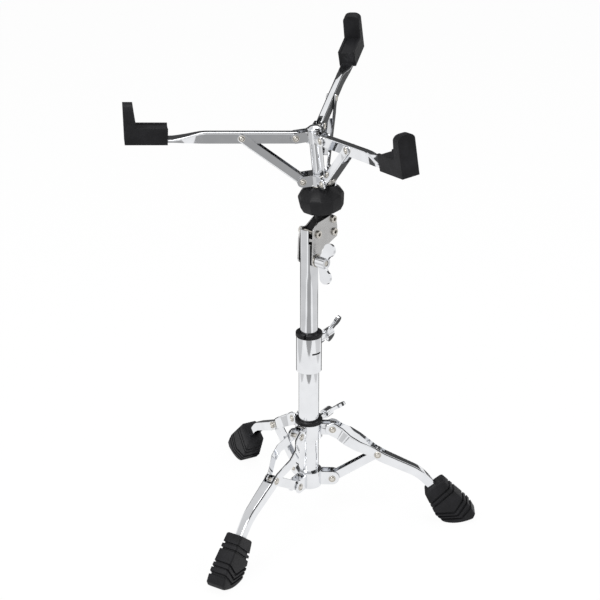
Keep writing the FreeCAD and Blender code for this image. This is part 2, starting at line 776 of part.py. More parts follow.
for side in TURNS:
    node("leg_strut_" + side, [strut], leg_frame(side) * STRUT_SEAT)
    node("leg_" + side, [leg], leg_frame(side) * LEG_SEAT)
    node("strut_rivet_" + side, [strut_rivet], leg_frame(side) * LEG_SEAT)
    node("foot_" + side, [foot], leg_frame(side) * FOOT_SEAT)

# sliding leg collar
COLLAR_INNER = "base_tube_radius + running_gap + collar_bush_wall"
COLLAR_OUTER = COLLAR_INNER + " + collar_wall"
COLLAR_LOW = COLLAR_HEIGHT + " - collar_below"
COLLAR_TOP = COLLAR_HEIGHT + " + collar_above"
COLLAR_REACH = COLLAR_OUTER + " + collar_boss_out"
COLLAR_BOLT = COLLAR_TOP + " - side_gap - collar_boss_radius"
collar = clevis_hub(
    "collar", COLLAR_INNER, COLLAR_OUTER, COLLAR_LOW, COLLAR_TOP, LEG_RADIUS, COLLAR_HEIGHT,
    "collar_ear_half", "collar_ear_wall", "collar_ear_below", "collar_ear_above",
    TURNS.values(), "pin_radius",
)
collar_boss = rod("collar_boss", "collar_boss_radius", COLLAR_REACH, z=COLLAR_BOLT, rotation=ALONG_X)
collar_hole = rod("collar_drill", BOLT_HOLE, "2 * (%s)" % COLLAR_REACH, z=COLLAR_BOLT, rotation=ALONG_X)
collar_boss_turn = placed("collar_boss_turn", [collar_boss], wing_turn)
collar_drill_turn = placed("collar_drill_turn", [collar_hole], wing_turn)
collar_bore = rod("collar_clear", COLLAR_INNER, "2 * (%s)" % COLLAR_TOP)
collar_joined = fuse("collar_joined", [collar, collar_boss_turn])
whole_collar = cut("collar_cut", collar_joined, [collar_drill_turn, collar_bore])
node("leg_collar", [whole_collar], STAND)
COLLAR_FLANGE = COLLAR_OUTER + " + bushing_flange_lip"
collar_bush = turn("collar_bush", [
    ("base_tube_radius + running_gap", COLLAR_LOW),
    (COLLAR_INNER, COLLAR_LOW),
    (COLLAR_INNER, COLLAR_TOP),
    (COLLAR_FLANGE, COLLAR_TOP),
    (COLLAR_FLANGE, COLLAR_TOP + " + bushing_flange_thick"),
    ("base_tube_radius + running_gap", COLLAR_TOP + " + bushing_flange_thick"),
])
node("collar_bushing", [collar_bush], STAND)
collar_rivet = rivet("collar", "pin_radius", LEG_HINGE_HALF, "head_radius", LEG_RADIUS, COLLAR_HEIGHT)
collar_rivets = [placed("collar_rivet_turn", [collar_rivet], swing(AXIS_Z, t)) for t in TURNS.values()]
node("collar_rivets", collar_rivets, STAND)
node("collar_wing_bolt", [
    wing_bolt("collar_wing", COLLAR_INNER + " + side_gap", COLLAR_REACH, COLLAR_BOLT, "collar_wing_angle")
], STAND * wing_turn)

# tilter plates, block and fasteners
PLATE_OUT = PLATE_IN + " + plate_thick"
SCREWS = [
    ("screw_low_x", "screw_low_z"),
    ("post_offset + screw_mid_behind", "screw_mid_z"),
    ("post_offset + screw_high_behind", "screw_high_z"),
]
screw_holes = []
for i, (x, z) in enumerate(SCREWS):
    screw_holes.append(cross_rod("screw_hole%d" % i, "screw_radius", "2 * (%s)" % PLATE_IN, x, z))
PLATE_SHOULDER = "post_offset + plate_shoulder_behind"
near_top = [
    (PLATE_SHOULDER, "plate_shoulder_z"),
    ("post_offset - plate_top_before", "plate_top_z"),
    ("plate_crown_x", "plate_top_z"),
    ("0", "plate_brow_z"),
]
far_top = [
    (PLATE_SHOULDER, "far_plate_top_z"),
    ("post_offset - far_plate_top_before", "far_plate_top_z"),
    ("far_plate_dip_x", "far_plate_dip_z"),
    ("far_plate_crown_x", "far_plate_crown_z"),
    ("0", "far_plate_brow_z"),
]
plate_low = [
    ("plate_foot_radius", "0"),
    ("plate_step_x", "plate_step_z"),
    ("post_offset + plate_corner_behind", "plate_corner_z"),
    ("post_offset + plate_side_behind", "plate_side_z"),
]
plate_rear = [("-plate_cheek_x", "plate_cheek_z"), ("-plate_foot_radius", "0")]
PLATE_SEAT = PLATE_IN + " + plate_thick / 2"
for name, top, seat in (("near", near_top, "-(%s)" % PLATE_SEAT), ("far", far_top, PLATE_SEAT)):
    panel = extrude(name + "_panel", plate_low + top + plate_rear, XZ, "plate_thick")
    foot_end = cross_rod(name + "_foot_end", "plate_foot_radius", "plate_thick / 2", "0", "0")
    hole = cross_rod(name + "_hole", "tilt_bolt_radius", PLATE_IN, "0", "0")
    plate = cut(name + "_plate", fuse(name + "_body", [panel, foot_end]), [hole] + screw_holes)
    node("tilter_plate_" + name, [plate], HEAD * shift(y=seat))
BLOCK_LEFT = MAST_RADIUS + " + block_gap"
block_body = extrude("block_body", [
    (BLOCK_LEFT, "block_bottom"),
    ("post_offset + block_behind", "block_bottom"),
    ("post_offset + block_behind", "block_crown_z"),
    ("post_offset - block_brow_before", "block_brow_z"),
    (BLOCK_LEFT + " + block_chin_in", "block_chin_z"),
    (BLOCK_LEFT, "block_notch_z"),
], XZ, "2 * (%s)" % PLATE_IN)
neck = rod(
    "block_neck", "post_radius + block_neck_wall", "block_top - block_bottom",
    x="post_offset", z="block_bottom"
)
post_hole = rod("post_hole", "post_radius", "block_top", x="post_offset", z="post_bottom")
block = cut("block_cut", fuse("block_fused", [block_body, neck]), [post_hole] + screw_holes)
node("tilter_block", [block], HEAD)
screws = []
nuts = []
for i, (x, z) in enumerate(SCREWS):
    length = "2 * (%s) + screw_tail" % PLATE_OUT
    shank = rod("shank%d" % i, "screw_radius", length, x, "-(%s)" % PLATE_OUT, z, ALONG_Y)
    top = "-(%s) - screw_head_rise" % PLATE_OUT
    head = rod("screw_head%d" % i, "screw_head_radius", "screw_head_rise", x, top, z, ALONG_Y)
    key = doc.addObject("Part::Prism", "screw_key%d" % i)
    key.Placement = Placement(V(), ALONG_Y)
    key.Polygon = 6
    bind(key, Circumradius="screw_socket_radius", Height="screw_socket_deep")
    bind(key, Placement__Base__x=x, Placement__Base__y=top, Placement__Base__z=z)
    screws.append(cut("screw%d" % i, fuse("screw_body%d" % i, [shank, head]), [key]))
    blank = doc.addObject("Part::Prism", "nut_blank%d" % i)
    blank.Placement = Placement(V(), ALONG_Y)
    blank.Polygon = 6
    bind(blank, Circumradius="nut_radius", Height="nut_rise")
    bind(blank, Placement__Base__x=x, Placement__Base__y=PLATE_OUT, Placement__Base__z=z)
    thread = rod("nut_bore%d" % i, "screw_radius", "nut_rise", x, PLATE_OUT, z, ALONG_Y)
    nuts.append(cut("nut%d" % i, blank, [thread]))
node("tilter_screws", screws, HEAD)
node("tilter_nuts", nuts, HEAD)
WING_NUT_START = PLATE_OUT + " + tilt_washer_thick + side_gap"
BOLT_TAIL = WING_NUT_START + " + wing_nut_hub_length - wing_nut_recess"
bolt_shank = rod(
    "tilt_shank", "tilt_bolt_radius", "%s + %s" % (BOLT_TAIL, PLATE_OUT),
    y="-(%s)" % BOLT_TAIL, rotation=ALONG_Y,
)
bolt_head = doc.addObject("Part::Cone", "tilt_head")
bolt_head.Placement = Placement(V(), ALONG_Y)
bind(bolt_head, Radius1="tilt_bolt_head_radius", Radius2="tilt_bolt_head_radius / 2")
bind(bolt_head, Height="tilt_bolt_head_rise")
bind(bolt_head, Placement__Base__y=PLATE_OUT)
node("tilter_bolt", [fuse("tilt_bolt", [bolt_shank, bolt_head])], HEAD)
WASHER_FACE = "-(%s) - tilt_washer_thick" % PLATE_OUT
washer = rod("tilt_washer_rod", "tilt_washer_radius", "tilt_washer_thick", y=WASHER_FACE, rotation=ALONG_Y)
washer_bore = cross_rod("tilt_washer_bore", "tilt_bolt_radius", BOLT_TAIL, "0", "0")
node("tilter_washer", [cut("tilt_washer_cut", washer, [washer_bore])], HEAD)
nut_grip = wing_grip("wing_nut", WING_NUT_START, "wing_nut")
nut_bore = rod("wing_nut_bore", "tilt_bolt_radius + running_gap", "2 * (%s)" % BOLT_TAIL, rotation=ALONG_X)
wing_nut_seat = HEAD * Placement(V(), Rotation(AXIS_Z, -90)) * swing(AXIS_X, "wing_nut_angle")
node("tilter_wing_nut", [cut("wing_nut_cut", nut_grip, [nut_bore])], wing_nut_seat)

# basket post, knob and hubs
post = rod("post_rod", "post_radius", POST_TOP + " - post_bottom", x="post_offset", z="post_bottom")
node("basket_post", [cut("post_cut", post, [screw_holes[-1]])], HEAD)
CAP_RADIUS = "post_radius + cap_lip"
cap = turn("cap", [
    ("0", POST_TOP),
    (CAP_RADIUS, POST_TOP),
    (CAP_RADIUS, POST_TOP + " + cap_rim"),
    ("post_radius - cap_brow_inset", POST_TOP + " + cap_brow_rise"),
    ("0", POST_TOP + " + cap_rise"),
])
node("top_cap", [cap], POST)
INSERT_RADIUS = POST_BORE + " + insert_wall"
knob_body = turn("knob", [
    (INSERT_RADIUS, KNOB_BOTTOM),
    ("knob_foot_radius", KNOB_BOTTOM),
    ("knob_belt_radius", KNOB_BOTTOM + " + knob_belt_rise"),
    ("knob_lip_radius", KNOB_BOTTOM + " + knob_lip_rise"),
    ("knob_dome_radius", KNOB_BOTTOM + " + knob_dome_rise"),
    ("knob_brow_radius", KNOB_BOTTOM + " + knob_brow_rise"),
    ("knob_top_radius", KNOB_TOP),
    (INSERT_RADIUS, KNOB_TOP),
])
facets = doc.addObject("Part::Prism", "knob_facets")
facets.Polygon = 12
bind(facets, Circumradius="knob_facet_radius", Height="2 * knob_rise")
bind(facets, Placement__Base__z=KNOB_BOTTOM + " - knob_rise / 2")
node("basket_knob", [common("knob_body", [knob_body, facets])], POST)
node("knob_insert", [
    tube("insert", POST_BORE, INSERT_RADIUS, KNOB_BOTTOM + " + insert_inset", KNOB_TOP + " - insert_inset")
], POST)
node("thrust_washer", [
    tube("thrust", POST_BORE, "post_radius + washer_lip", KNOB_TOP + " + washer_gap", WASHER_TOP)
], POST)
top_hub = clevis_hub(
    "top", "post_radius", TOP_OUTER, TOP_HEIGHT + " - top_below", POST_TOP, TOP_RADIUS, TOP_HEIGHT,
    "arm_half_width + side_gap", "top_ear_wall", "top_ear_half_tall", "top_ear_half_tall",
    ARMS.values(), "arm_pin_radius",
)
node("top_hub", [top_hub], POST)
TOP_HALF = "arm_half_width + side_gap + top_ear_wall"
top_rivet = rivet("top", "arm_pin_radius", TOP_HALF, "arm_head_radius", TOP_RADIUS, TOP_HEIGHT)
top_rivets = [placed("top_rivet_turn", [top_rivet], swing(AXIS_Z, t)) for t in ARMS.values()]
node("top_hub_rivets", top_rivets, POST)
slider = clevis_hub(
    "slider", POST_BORE, SLIDER_OUTER, WASHER_TOP, WASHER_TOP + " + slider_tall",
    SLIDER_RADIUS, SLIDER_HEIGHT,
    "brace_half_width + side_gap", "slider_ear_wall", "slider_ear_half_tall", "slider_ear_half_tall",
    ARMS.values(), "arm_pin_radius",
)
node("slider_hub", [slider], POST)
SLIDER_HALF = "brace_half_width + side_gap + slider_ear_wall"
slider_rivet = rivet(
    "slider", "arm_pin_radius", SLIDER_HALF, "arm_head_radius", SLIDER_RADIUS, SLIDER_HEIGHT
)
slider_rivets = [placed("slider_rivet_turn", [slider_rivet], swing(AXIS_Z, t)) for t in ARMS.values()]
node("slider_rivets", slider_rivets, POST)

# basket arms, grips and struts
ARM_STRAIGHT = "arm_end - arm_straight_back"
ARM_BEND_A = "arm_end - arm_bend_a_back"
ARM_BEND_B = "arm_end - arm_bend_b_back"
ARM_BEND_LOW = "arm_end - arm_bend_low_back"
TONGUE_START = "arm_end - arm_tongue_back"
TONGUE_LOW = "-arm_tongue_drop - arm_tongue_thick"
arm_top = [
    ("0", "arm_half_tall"),
    (ARM_STRAIGHT, "arm_half_tall"),
    (ARM_BEND_A, "arm_bend_a_top"),
    (ARM_BEND_B, "arm_bend_b_top"),
    (TONGUE_START, "-arm_tongue_drop"),
    ("arm_end", "-arm_tongue_drop"),
]
arm_bottom = [
    ("0", "-arm_half_tall"),
    (ARM_STRAIGHT, "-arm_half_tall"),
    (ARM_BEND_LOW, "-arm_bend_low_drop"),
    (TONGUE_START, TONGUE_LOW),
    ("arm_end", TONGUE_LOW),
]
arm_widths = [
    ("-arm_half_tall", "arm_half_width"),
    (ARM_STRAIGHT, "arm_half_width"),
    (TONGUE_START, "arm_tongue_half"),
    ("arm_end", "arm_tongue_half"),
]
arm_web = [
    ("arm_web_start", "arm_half_tall - arm_wall"),
    (ARM_STRAIGHT, "arm_half_tall - arm_wall"),
    (ARM_BEND_A, "arm_bend_a_top - arm_wall"),
    (ARM_BEND_B, "arm_bend_b_top - arm_wall"),
    (TONGUE_START, TONGUE_LOW),
    ("arm_end", TONGUE_LOW),
]
arm = channel(
    "arm", arm_top, arm_bottom, arm_widths, "arm_wall", arm_web, "2 * arm_half_tall",
    [("0", "0", "arm_half_tall")],
    [("0", "0", ARM_HOLE), ("arm_strut_pivot", "0", "arm_pin_radius")],
)
BRACE_NECK = "arm_half_width + side_gap + brace_wall"
arm_rivet = rivet("elbow", "arm_pin_radius", BRACE_NECK, "arm_head_radius", "arm_strut_pivot", "0")
GRIP_START = "arm_end - grip_start_back"
GRIP_END = "arm_end + grip_end_out"
GRIP_LOW = TONGUE_LOW + " - grip_floor"
grip_body = extrude("grip_body", [
    (GRIP_START, GRIP_LOW),
    (GRIP_END, GRIP_LOW),
    (GRIP_END + " + grip_lean", "grip_top"),
    (GRIP_END + " + grip_lean - grip_top_thick", "grip_top"),
    (GRIP_END + " - grip_root_thick", "grip_seat"),
    (GRIP_START, "grip_seat"),
], XZ, "2 * (arm_tongue_half + grip_wall)")
grip_slot = box(
    "grip_slot", "arm_straight_back", "2 * arm_tongue_half", "arm_tongue_thick",
    ARM_STRAIGHT, TONGUE_LOW,
)
grip = cut("grip_cut", grip_body, [grip_slot])
BRACE_TAIL = "(slider_hinge_out - brace_half_tall - side_gap) * %s / %s" % (BRACE_LENGTH, BRACE_RUN)
BRACE_END = "%s + %s" % (BRACE_LENGTH, BRACE_TAIL)
brace_top = [
    ("0", "-brace_half_tall"),
    (BRACE_END, "-brace_half_tall"),
]
brace_bottom = [
    ("0", "brace_half_tall"),
    (BRACE_END, "brace_half_tall"),
]
brace_widths = [
    ("-brace_half_tall", BRACE_NECK),
    ("brace_joggle_start", BRACE_NECK),
    ("brace_joggle_stop", "brace_half_width"),
    (BRACE_END + " + 2 * brace_half_tall", "brace_half_width"),
]
brace_web = [
    ("brace_web_start", "brace_half_tall - brace_wall"),
    (BRACE_LENGTH + " - brace_web_stop", "brace_half_tall - brace_wall"),
]
brace = channel(
    "brace", brace_top, brace_bottom, brace_widths, "brace_wall", brace_web, "4 * brace_wall",
    [("0", "0", "brace_half_tall"), (BRACE_END, "0", "brace_half_tall")],
    [("0", "0", ARM_HOLE)],
)
SLOT_HOLE = "arm_pin_radius + brace_slot_gap"
slot_mid = box(
    "brace_slot_mid", "brace_slot_length", "4 * brace_half_width", "2 * (%s)" % SLOT_HOLE,
    "0", "-(%s)" % SLOT_HOLE,
)
slot = fuse("brace_slot", [
    cross_rod("brace_slot_in", SLOT_HOLE, "2 * brace_half_width", "0", "0"),
    cross_rod("brace_slot_out", SLOT_HOLE, "2 * brace_half_width", "brace_slot_length", "0"),
    slot_mid,
])
slot_seat = shift(BRACE_LENGTH) * swing(AXIS_Y, "brace_slot_angle")
brace = cut("brace_cut", brace, [placed("brace_slots", [slot], slot_seat)])
for side in ARMS:
    seat = arm_frame(side) * ARM_SEAT
    node("basket_arm_" + side, [arm], seat)
    node("arm_rivet_" + side, [arm_rivet], seat)
    node("grip_" + side, [grip], seat)
    node("basket_strut_" + side, [brace], arm_frame(side) * BRACE_SEAT)

doc.recompute()

# checks and files
for item in doc.Objects:
    if "Invalid" in item.State or "Error" in item.State:
        raise RuntimeError("%s: %s" % (item.Name, item.getStatusString()))
os.makedirs("parts", exist_ok=True)
for item in NODES:
    if item.Shape.isNull() or not item.Shape.isValid() or not item.Shape.Solids:
        raise RuntimeError("%s has no valid shape" % item.Label)
    item.Shape.exportStep("parts/%s.step" % item.Label)
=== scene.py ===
import json
import math
import bmesh
import bpy
from mathutils import Matrix, Vector


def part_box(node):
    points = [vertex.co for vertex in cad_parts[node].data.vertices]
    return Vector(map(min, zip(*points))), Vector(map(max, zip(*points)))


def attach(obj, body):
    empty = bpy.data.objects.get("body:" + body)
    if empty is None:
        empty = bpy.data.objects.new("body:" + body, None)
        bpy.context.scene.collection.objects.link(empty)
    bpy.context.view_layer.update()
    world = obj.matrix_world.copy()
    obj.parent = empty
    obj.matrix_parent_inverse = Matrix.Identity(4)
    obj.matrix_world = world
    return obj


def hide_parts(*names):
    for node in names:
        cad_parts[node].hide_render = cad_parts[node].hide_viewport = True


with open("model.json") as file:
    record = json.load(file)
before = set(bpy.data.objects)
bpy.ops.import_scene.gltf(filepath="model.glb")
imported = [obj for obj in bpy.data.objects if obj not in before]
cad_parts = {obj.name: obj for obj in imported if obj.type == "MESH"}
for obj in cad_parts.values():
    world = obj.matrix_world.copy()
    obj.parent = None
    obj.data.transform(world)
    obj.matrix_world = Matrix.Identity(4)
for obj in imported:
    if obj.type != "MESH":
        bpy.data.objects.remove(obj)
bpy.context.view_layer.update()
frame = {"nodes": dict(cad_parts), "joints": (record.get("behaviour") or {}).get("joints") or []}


# Base tube
# The fixed column of the stand, a 22 mm steel tube cut square, deburred and chromed.
# The lower hub and the height clamp are pressed onto its two ends.
def wire(tree, kind, sockets=None, **settings):
    part = tree.nodes.new(kind)
    for key, what in settings.items():
        setattr(part, key, what)
    for key, what in (sockets or {}).items():
        if isinstance(what, bpy.types.NodeSocket):
            tree.links.new(what, part.inputs[key])
        else:
            part.inputs[key].default_value = what
    return part


CLOUD_LOW, CLOUD_HIGH, CLOUD_DETAIL, DENT_STRENGTH = 0.3, 0.7, 2, 0.3
# Painted shade: how far the ambient occlusion looks, and the occlusion range over which it darkens the base
# colour in recesses and between parts.
PAINTED_SHADE_REACH, PAINTED_SHADE_SHUT, PAINTED_SHADE_OPEN = 0.004, 0.25, 0.8


def mottle(tree, scale):
    where = wire(tree, "ShaderNodeTexCoord").outputs["Object"]
    sockets = {"Vector": where, "Scale": scale, "Detail": CLOUD_DETAIL}
    return wire(tree, "ShaderNodeTexNoise", sockets).outputs[0]


def ranged(tree, value, from_low, from_high, low, high):
    limits = {0: value, 1: from_low, 2: from_high, 3: low, 4: high}
    return wire(tree, "ShaderNodeMapRange", limits).outputs[0]


def tint(tree, cloud, dark, light):
    ramp = wire(tree, "ShaderNodeValToRGB", {0: cloud})
    ends = ramp.color_ramp.elements
    ends[0].position, ends[1].position = CLOUD_LOW, CLOUD_HIGH
    ends[0].color, ends[1].color = (*dark, 1), (*light, 1)
    return ramp.outputs[0]


def finish(name, dark, light, smooth, rough, metal, patch, grain, relief, shine=0.5, painted_shade=1):
    material = bpy.data.materials.new(name)
    material.use_nodes = True
    tree = material.node_tree
    shader = tree.nodes["Principled BSDF"]
    shader.inputs["Metallic"].default_value = metal
    shader.inputs["Specular IOR Level"].default_value = shine
    colour = tint(tree, mottle(tree, patch), dark, light)
    # Painted shade: the base colour is darkened, down to the given level, wherever the ambient occlusion
    # node finds other surfaces within a few millimetres, in recesses, sockets, grooves and between parts.
    if painted_shade < 1:
        shade_occlusion = wire(tree, "ShaderNodeAmbientOcclusion", {"Distance": PAINTED_SHADE_REACH}, samples=8)
        depth = ranged(tree, shade_occlusion.outputs["AO"], PAINTED_SHADE_SHUT, PAINTED_SHADE_OPEN, painted_shade, 1)
        colour = wire(tree, "ShaderNodeVectorMath", {0: colour, 1: depth}, operation="MULTIPLY").outputs[0]
    polish = ranged(tree, mottle(tree, grain), CLOUD_LOW, CLOUD_HIGH, smooth, rough)
    bumps = {"Height": mottle(tree, grain), "Strength": DENT_STRENGTH, "Distance": relief}
    dents = wire(tree, "ShaderNodeBump", bumps)
    tree.links.new(colour, shader.inputs["Base Color"])
    tree.links.new(polish, shader.inputs["Roughness"])
    tree.links.new(dents.outputs[0], shader.inputs["Normal"])
    return material


# The chrome's base colour carries painted shade in recesses and between parts.
chrome = finish(
    "polished_chrome", (0.76, 0.77, 0.79), (0.83, 0.84, 0.86), smooth=0.03, rough=0.06,
    metal=1, patch=60, grain=400, relief=0.000003, painted_shade=0.3,
)
MM = Matrix.Scale(0.001, 4)
TINY = 1e-6
ROUND_SHARE, ROUND_STEPS = 0.45, 4


def rounded(outline, radius):
    points = []
    count = len(outline)
    for i in range(count):
        before, here, after = (Vector(outline[(i + k) % count]) for k in (-1, 0, 1))
        to_before, to_after = before - here, after - here
        reach = min(radius, to_before.length * ROUND_SHARE, to_after.length * ROUND_SHARE)
        start = here + to_before.normalized() * reach
        stop = here + to_after.normalized() * reach
        for k in range(ROUND_STEPS + 1):
            t = k / ROUND_STEPS
            points.append(start * (1 - t) ** 2 + here * 2 * t * (1 - t) + stop * t ** 2)
    return points


def turned(outline, sides=64, close=True):
    shape = bmesh.new()
    rings = []
    for radius, height in outline:
        if radius < TINY:
            rings.append([shape.verts.new((0, 0, height))] * sides)
            continue
        turns = [2 * math.pi * k / sides for k in range(sides)]
        rings.append([shape.verts.new((radius * math.cos(a), radius * math.sin(a), height)) for a in turns])
    following = rings[1:] + (rings[:1] if close else [])
    for low, high in zip(rings, following):
        for k in range(sides):
            corners = [low[k], low[(k + 1) % sides], high[(k + 1) % sides], high[k]]
            corners = list(dict.fromkeys(corners))
            if len(corners) > 2:
                shape.faces.new(corners)
    bmesh.ops.recalc_face_normals(shape, faces=shape.faces)
    return shape


def settled(shape, where, crease=35):
    mesh = bpy.data.meshes.new("settled")
    shape.to_mesh(mesh)
    shape.free()
    mesh.transform(where @ MM)
    mesh.shade_smooth()
    mesh.set_sharp_from_angle(angle=math.radians(crease))
    return mesh


def fitted(name, mesh, look, body, slot, *nodes):
    mesh.name = name
    mesh.materials.clear()
    mesh.materials.append(look)
    piece = bpy.data.objects.new(name, mesh)
    bpy.context.scene.collection.objects.link(piece)
    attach(piece, body)
    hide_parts(*nodes)
    return piece


tube_low, tube_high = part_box("base_tube")
BASE_TUBE_BOTTOM = 37
stand_rise = tube_low.z - BASE_TUBE_BOTTOM / 1000
stand = Matrix.Translation(((tube_low.x + tube_high.x) / 2, (tube_low.y + tube_high.y) / 2, stand_rise))
TUBE_RADIUS, TUBE_WALL, TUBE_EDGE = 11.1, 1.2, 0.3
tube_bore = TUBE_RADIUS - TUBE_WALL
tube_top = (tube_high.z - stand_rise) * 1000
tube_outline = [
    (TUBE_RADIUS, BASE_TUBE_BOTTOM), (TUBE_RADIUS, tube_top),
    (tube_bore, tube_top), (tube_bore, BASE_TUBE_BOTTOM),
]
base_ring = rounded(tube_outline, TUBE_EDGE)
fitted("column_tube", settled(turned(base_ring), stand), chrome, "base", "chrome_steel", "base_tube")


# Lower hub and rivets
# A three-eared casting pressed onto the foot of the base tube, chromed with it.
# Each pair of ears holds one leg strut on a solid rivet, nickel plated, with a ringed dome on both ends.
FLAT_LIMIT = math.radians(1)


def softened(piece, label, width, segments, angle):
    edge = piece.modifiers.new(label, "BEVEL")
    edge.width = width / 1000
    edge.segments = segments
    edge.limit_method = "ANGLE"
    edge.angle_limit = math.radians(angle)


def eased(name, node, look, body, slot, edge, crease=40, reshape=None):
    shape = bmesh.new()
    shape.from_mesh(frame["nodes"][node].data)
    bmesh.ops.remove_doubles(shape, verts=shape.verts, dist=TINY)
    if reshape:
        reshape(shape)
    bmesh.ops.dissolve_limit(shape, angle_limit=FLAT_LIMIT, verts=shape.verts, edges=shape.edges)
    mesh = bpy.data.meshes.new(name)
    shape.to_mesh(mesh)
    shape.free()
    mesh.shade_smooth()
    mesh.set_sharp_from_angle(angle=math.radians(crease))
    piece = fitted(name, mesh, look, body, slot, node)
    if edge:
        softened(piece, "eased_edges", width=edge, segments=2, angle=crease)


eased("cast_lower_hub", "lower_hub", chrome, "base", "chrome_steel", edge=0.4)


def turned_tree(name, sizes, rows):
    tree = bpy.data.node_groups.new(name, "GeometryNodeTree")
    tree.interface.new_socket("Seats", in_out="INPUT", socket_type="NodeSocketGeometry")
    for size in sizes:
        tree.interface.new_socket(size, in_out="INPUT", socket_type="NodeSocketFloat")
    for count in ("Sides", "Flats"):
        tree.interface.new_socket(count, in_out="INPUT", socket_type="NodeSocketInt")
    tree.interface.new_socket("Finish", in_out="INPUT", socket_type="NodeSocketMaterial")
    tree.interface.new_socket("Pieces", in_out="OUTPUT", socket_type="NodeSocketGeometry")
    given = wire(tree, "NodeGroupInput").outputs

    def reckon(operation, first, second=0.0):
        return wire(tree, "ShaderNodeMath", {0: first, 1: second}, operation=operation).outputs[0]

    columns = reckon("ADD", given["Sides"], 1)
    index = wire(tree, "GeometryNodeInputIndex").outputs[0]
    ring = reckon("FLOOR", reckon("DIVIDE", index, columns))
    step = reckon("MODULO", index, columns)
    angle = reckon("MULTIPLY", reckon("DIVIDE", step, given["Sides"]), 2 * math.pi)

    def by_row(weights):
        choice = wire(tree, "GeometryNodeIndexSwitch", data_type="FLOAT")
        while len(choice.index_switch_items) < len(rows):
            choice.index_switch_items.new()
        tree.links.new(ring, choice.inputs[0])
        for k, weight in enumerate(weights):
            choice.inputs[k + 1].default_value = weight
        return choice.outputs[0]

    def measure(place):
        total = None
        for size in sizes:
            weights = [row[place].get(size, 0) for row in rows]
            if any(weights):
                term = reckon("MULTIPLY", by_row(weights), given[size])
                total = reckon("ADD", total, term) if total else term
        return total

    half = reckon("DIVIDE", math.pi, given["Flats"])
    off = reckon("SUBTRACT", reckon("MODULO", angle, reckon("MULTIPLY", half, 2)), half)
    dip = reckon("SUBTRACT", reckon("DIVIDE", reckon("COSINE", half), reckon("COSINE", off)), 1)
    flatness = reckon("ADD", reckon("MULTIPLY", by_row([row[2] for row in rows]), dip), 1)
    reach = reckon("MULTIPLY", measure(0), flatness)
    across = reckon("MULTIPLY", reach, reckon("COSINE", angle))
    aside = reckon("MULTIPLY", reach, reckon("SINE", angle))
    spot = wire(tree, "ShaderNodeCombineXYZ", {0: across, 1: aside, 2: measure(1)}).outputs[0]
    grid = wire(tree, "GeometryNodeMeshGrid", {"Vertices X": len(rows), "Vertices Y": columns}).outputs[0]
    lathed = wire(tree, "GeometryNodeSetPosition", {"Geometry": grid, "Position": spot}).outputs[0]
    whole = wire(tree, "GeometryNodeMergeByDistance", {"Geometry": lathed, "Distance": TINY}).outputs[0]
    way = wire(tree, "GeometryNodeInputNamedAttribute", {"Name": "pin_way"}, data_type="FLOAT_VECTOR")
    facing = wire(tree, "FunctionNodeAlignRotationToVector", {"Vector": way.outputs[0]}, axis="Z")
    placing = {"Points": given["Seats"], "Instance": whole, "Rotation": facing.outputs[0]}
    many = wire(tree, "GeometryNodeInstanceOnPoints", placing).outputs[0]
    real = wire(tree, "GeometryNodeRealizeInstances", {"Geometry": many}).outputs[0]
    coated = wire(tree, "GeometryNodeSetMaterial", {"Geometry": real, "Material": given["Finish"]})
    wire(tree, "NodeGroupOutput", {0: coated.outputs[0]})
    return tree


def grown(name, tree, seats, look, sizes, sides=32, flats=6, crease=30):
    places = bpy.data.meshes.new(name)
    places.from_pydata([seat.translation for seat in seats], [], [])
    ways = places.attributes.new("pin_way", "FLOAT_VECTOR", "POINT")
    for k, seat in enumerate(seats):
        ways.data[k].vector = seat.col[2].xyz
    holder = bpy.data.objects.new(name, places)
    bpy.context.scene.collection.objects.link(holder)
    growth = holder.modifiers.new(tree.name, "NODES")
    growth.node_group = tree
    given = {size: length / 1000 for size, length in sizes.items()}
    given.update({"Sides": sides, "Flats": flats, "Finish": look})
    for socket in tree.interface.items_tree:
        if socket.name in given:
            growth[socket.identifier] = given[socket.name]
    mesh = bpy.data.meshes.new_from_object(holder.evaluated_get(bpy.context.evaluated_depsgraph_get()))
    bpy.data.objects.remove(holder)
    mesh.shade_smooth()
    mesh.set_sharp_from_angle(angle=math.radians(crease))
    return mesh


def turn_x(angle):
    return Matrix.Rotation(math.radians(angle), 4, "X")


def turn_y(angle):
    return Matrix.Rotation(math.radians(angle), 4, "Y")


def turn_z(angle):
    return Matrix.Rotation(math.radians(angle), 4, "Z")


def shift(x=0, y=0, z=0):
    return Matrix.Translation((x / 1000, y / 1000, z / 1000))


# The nickel's base colour carries deep painted shade in recesses, grooves and between parts.
nickel = finish(
    "bright_nickel", (0.6, 0.57, 0.52), (0.72, 0.69, 0.64), smooth=0.1, rough=0.18,
    metal=1, patch=120, grain=600, relief=0.000008, painted_shade=0.12,
)
DOME = [
    (0, 1), (0.2, 0.97), (0.4, 0.86), (0.55, 0.66), (0.62, 0.4), (0.66, 0.16),
    (0.74, 0.16), (0.8, 0.42), (0.88, 0.5), (0.96, 0.42), (1, 0.2), (1, 0),
]
rivet_rows = [({"Head Radius": r}, {"Half Span": 1, "Head Rise": h}, 0) for r, h in DOME]
rivet_rows.append(({"Pin Radius": 1}, {"Half Span": 1}, 0))
rivet_rows += [(r, {size: -share for size, share in h.items()}, 0) for r, h, _ in reversed(rivet_rows)]
RIVET_SIZES = ("Pin Radius", "Head Radius", "Head Rise", "Half Span")
rivet_tree = turned_tree("ringed_rivet", RIVET_SIZES, rivet_rows)
RIVET_RISE = 1.3


def rivets(node, body, hinges, half, pin=2.4, head=4):
    sizes = {"Pin Radius": pin, "Head Radius": head, "Head Rise": RIVET_RISE, "Half Span": half}
    mesh = grown("ringed_" + node, rivet_tree, [hinge @ turn_x(90) for hinge in hinges], nickel, sizes)
    fitted("ringed_" + node, mesh, nickel, body, "rivet_steel", node)


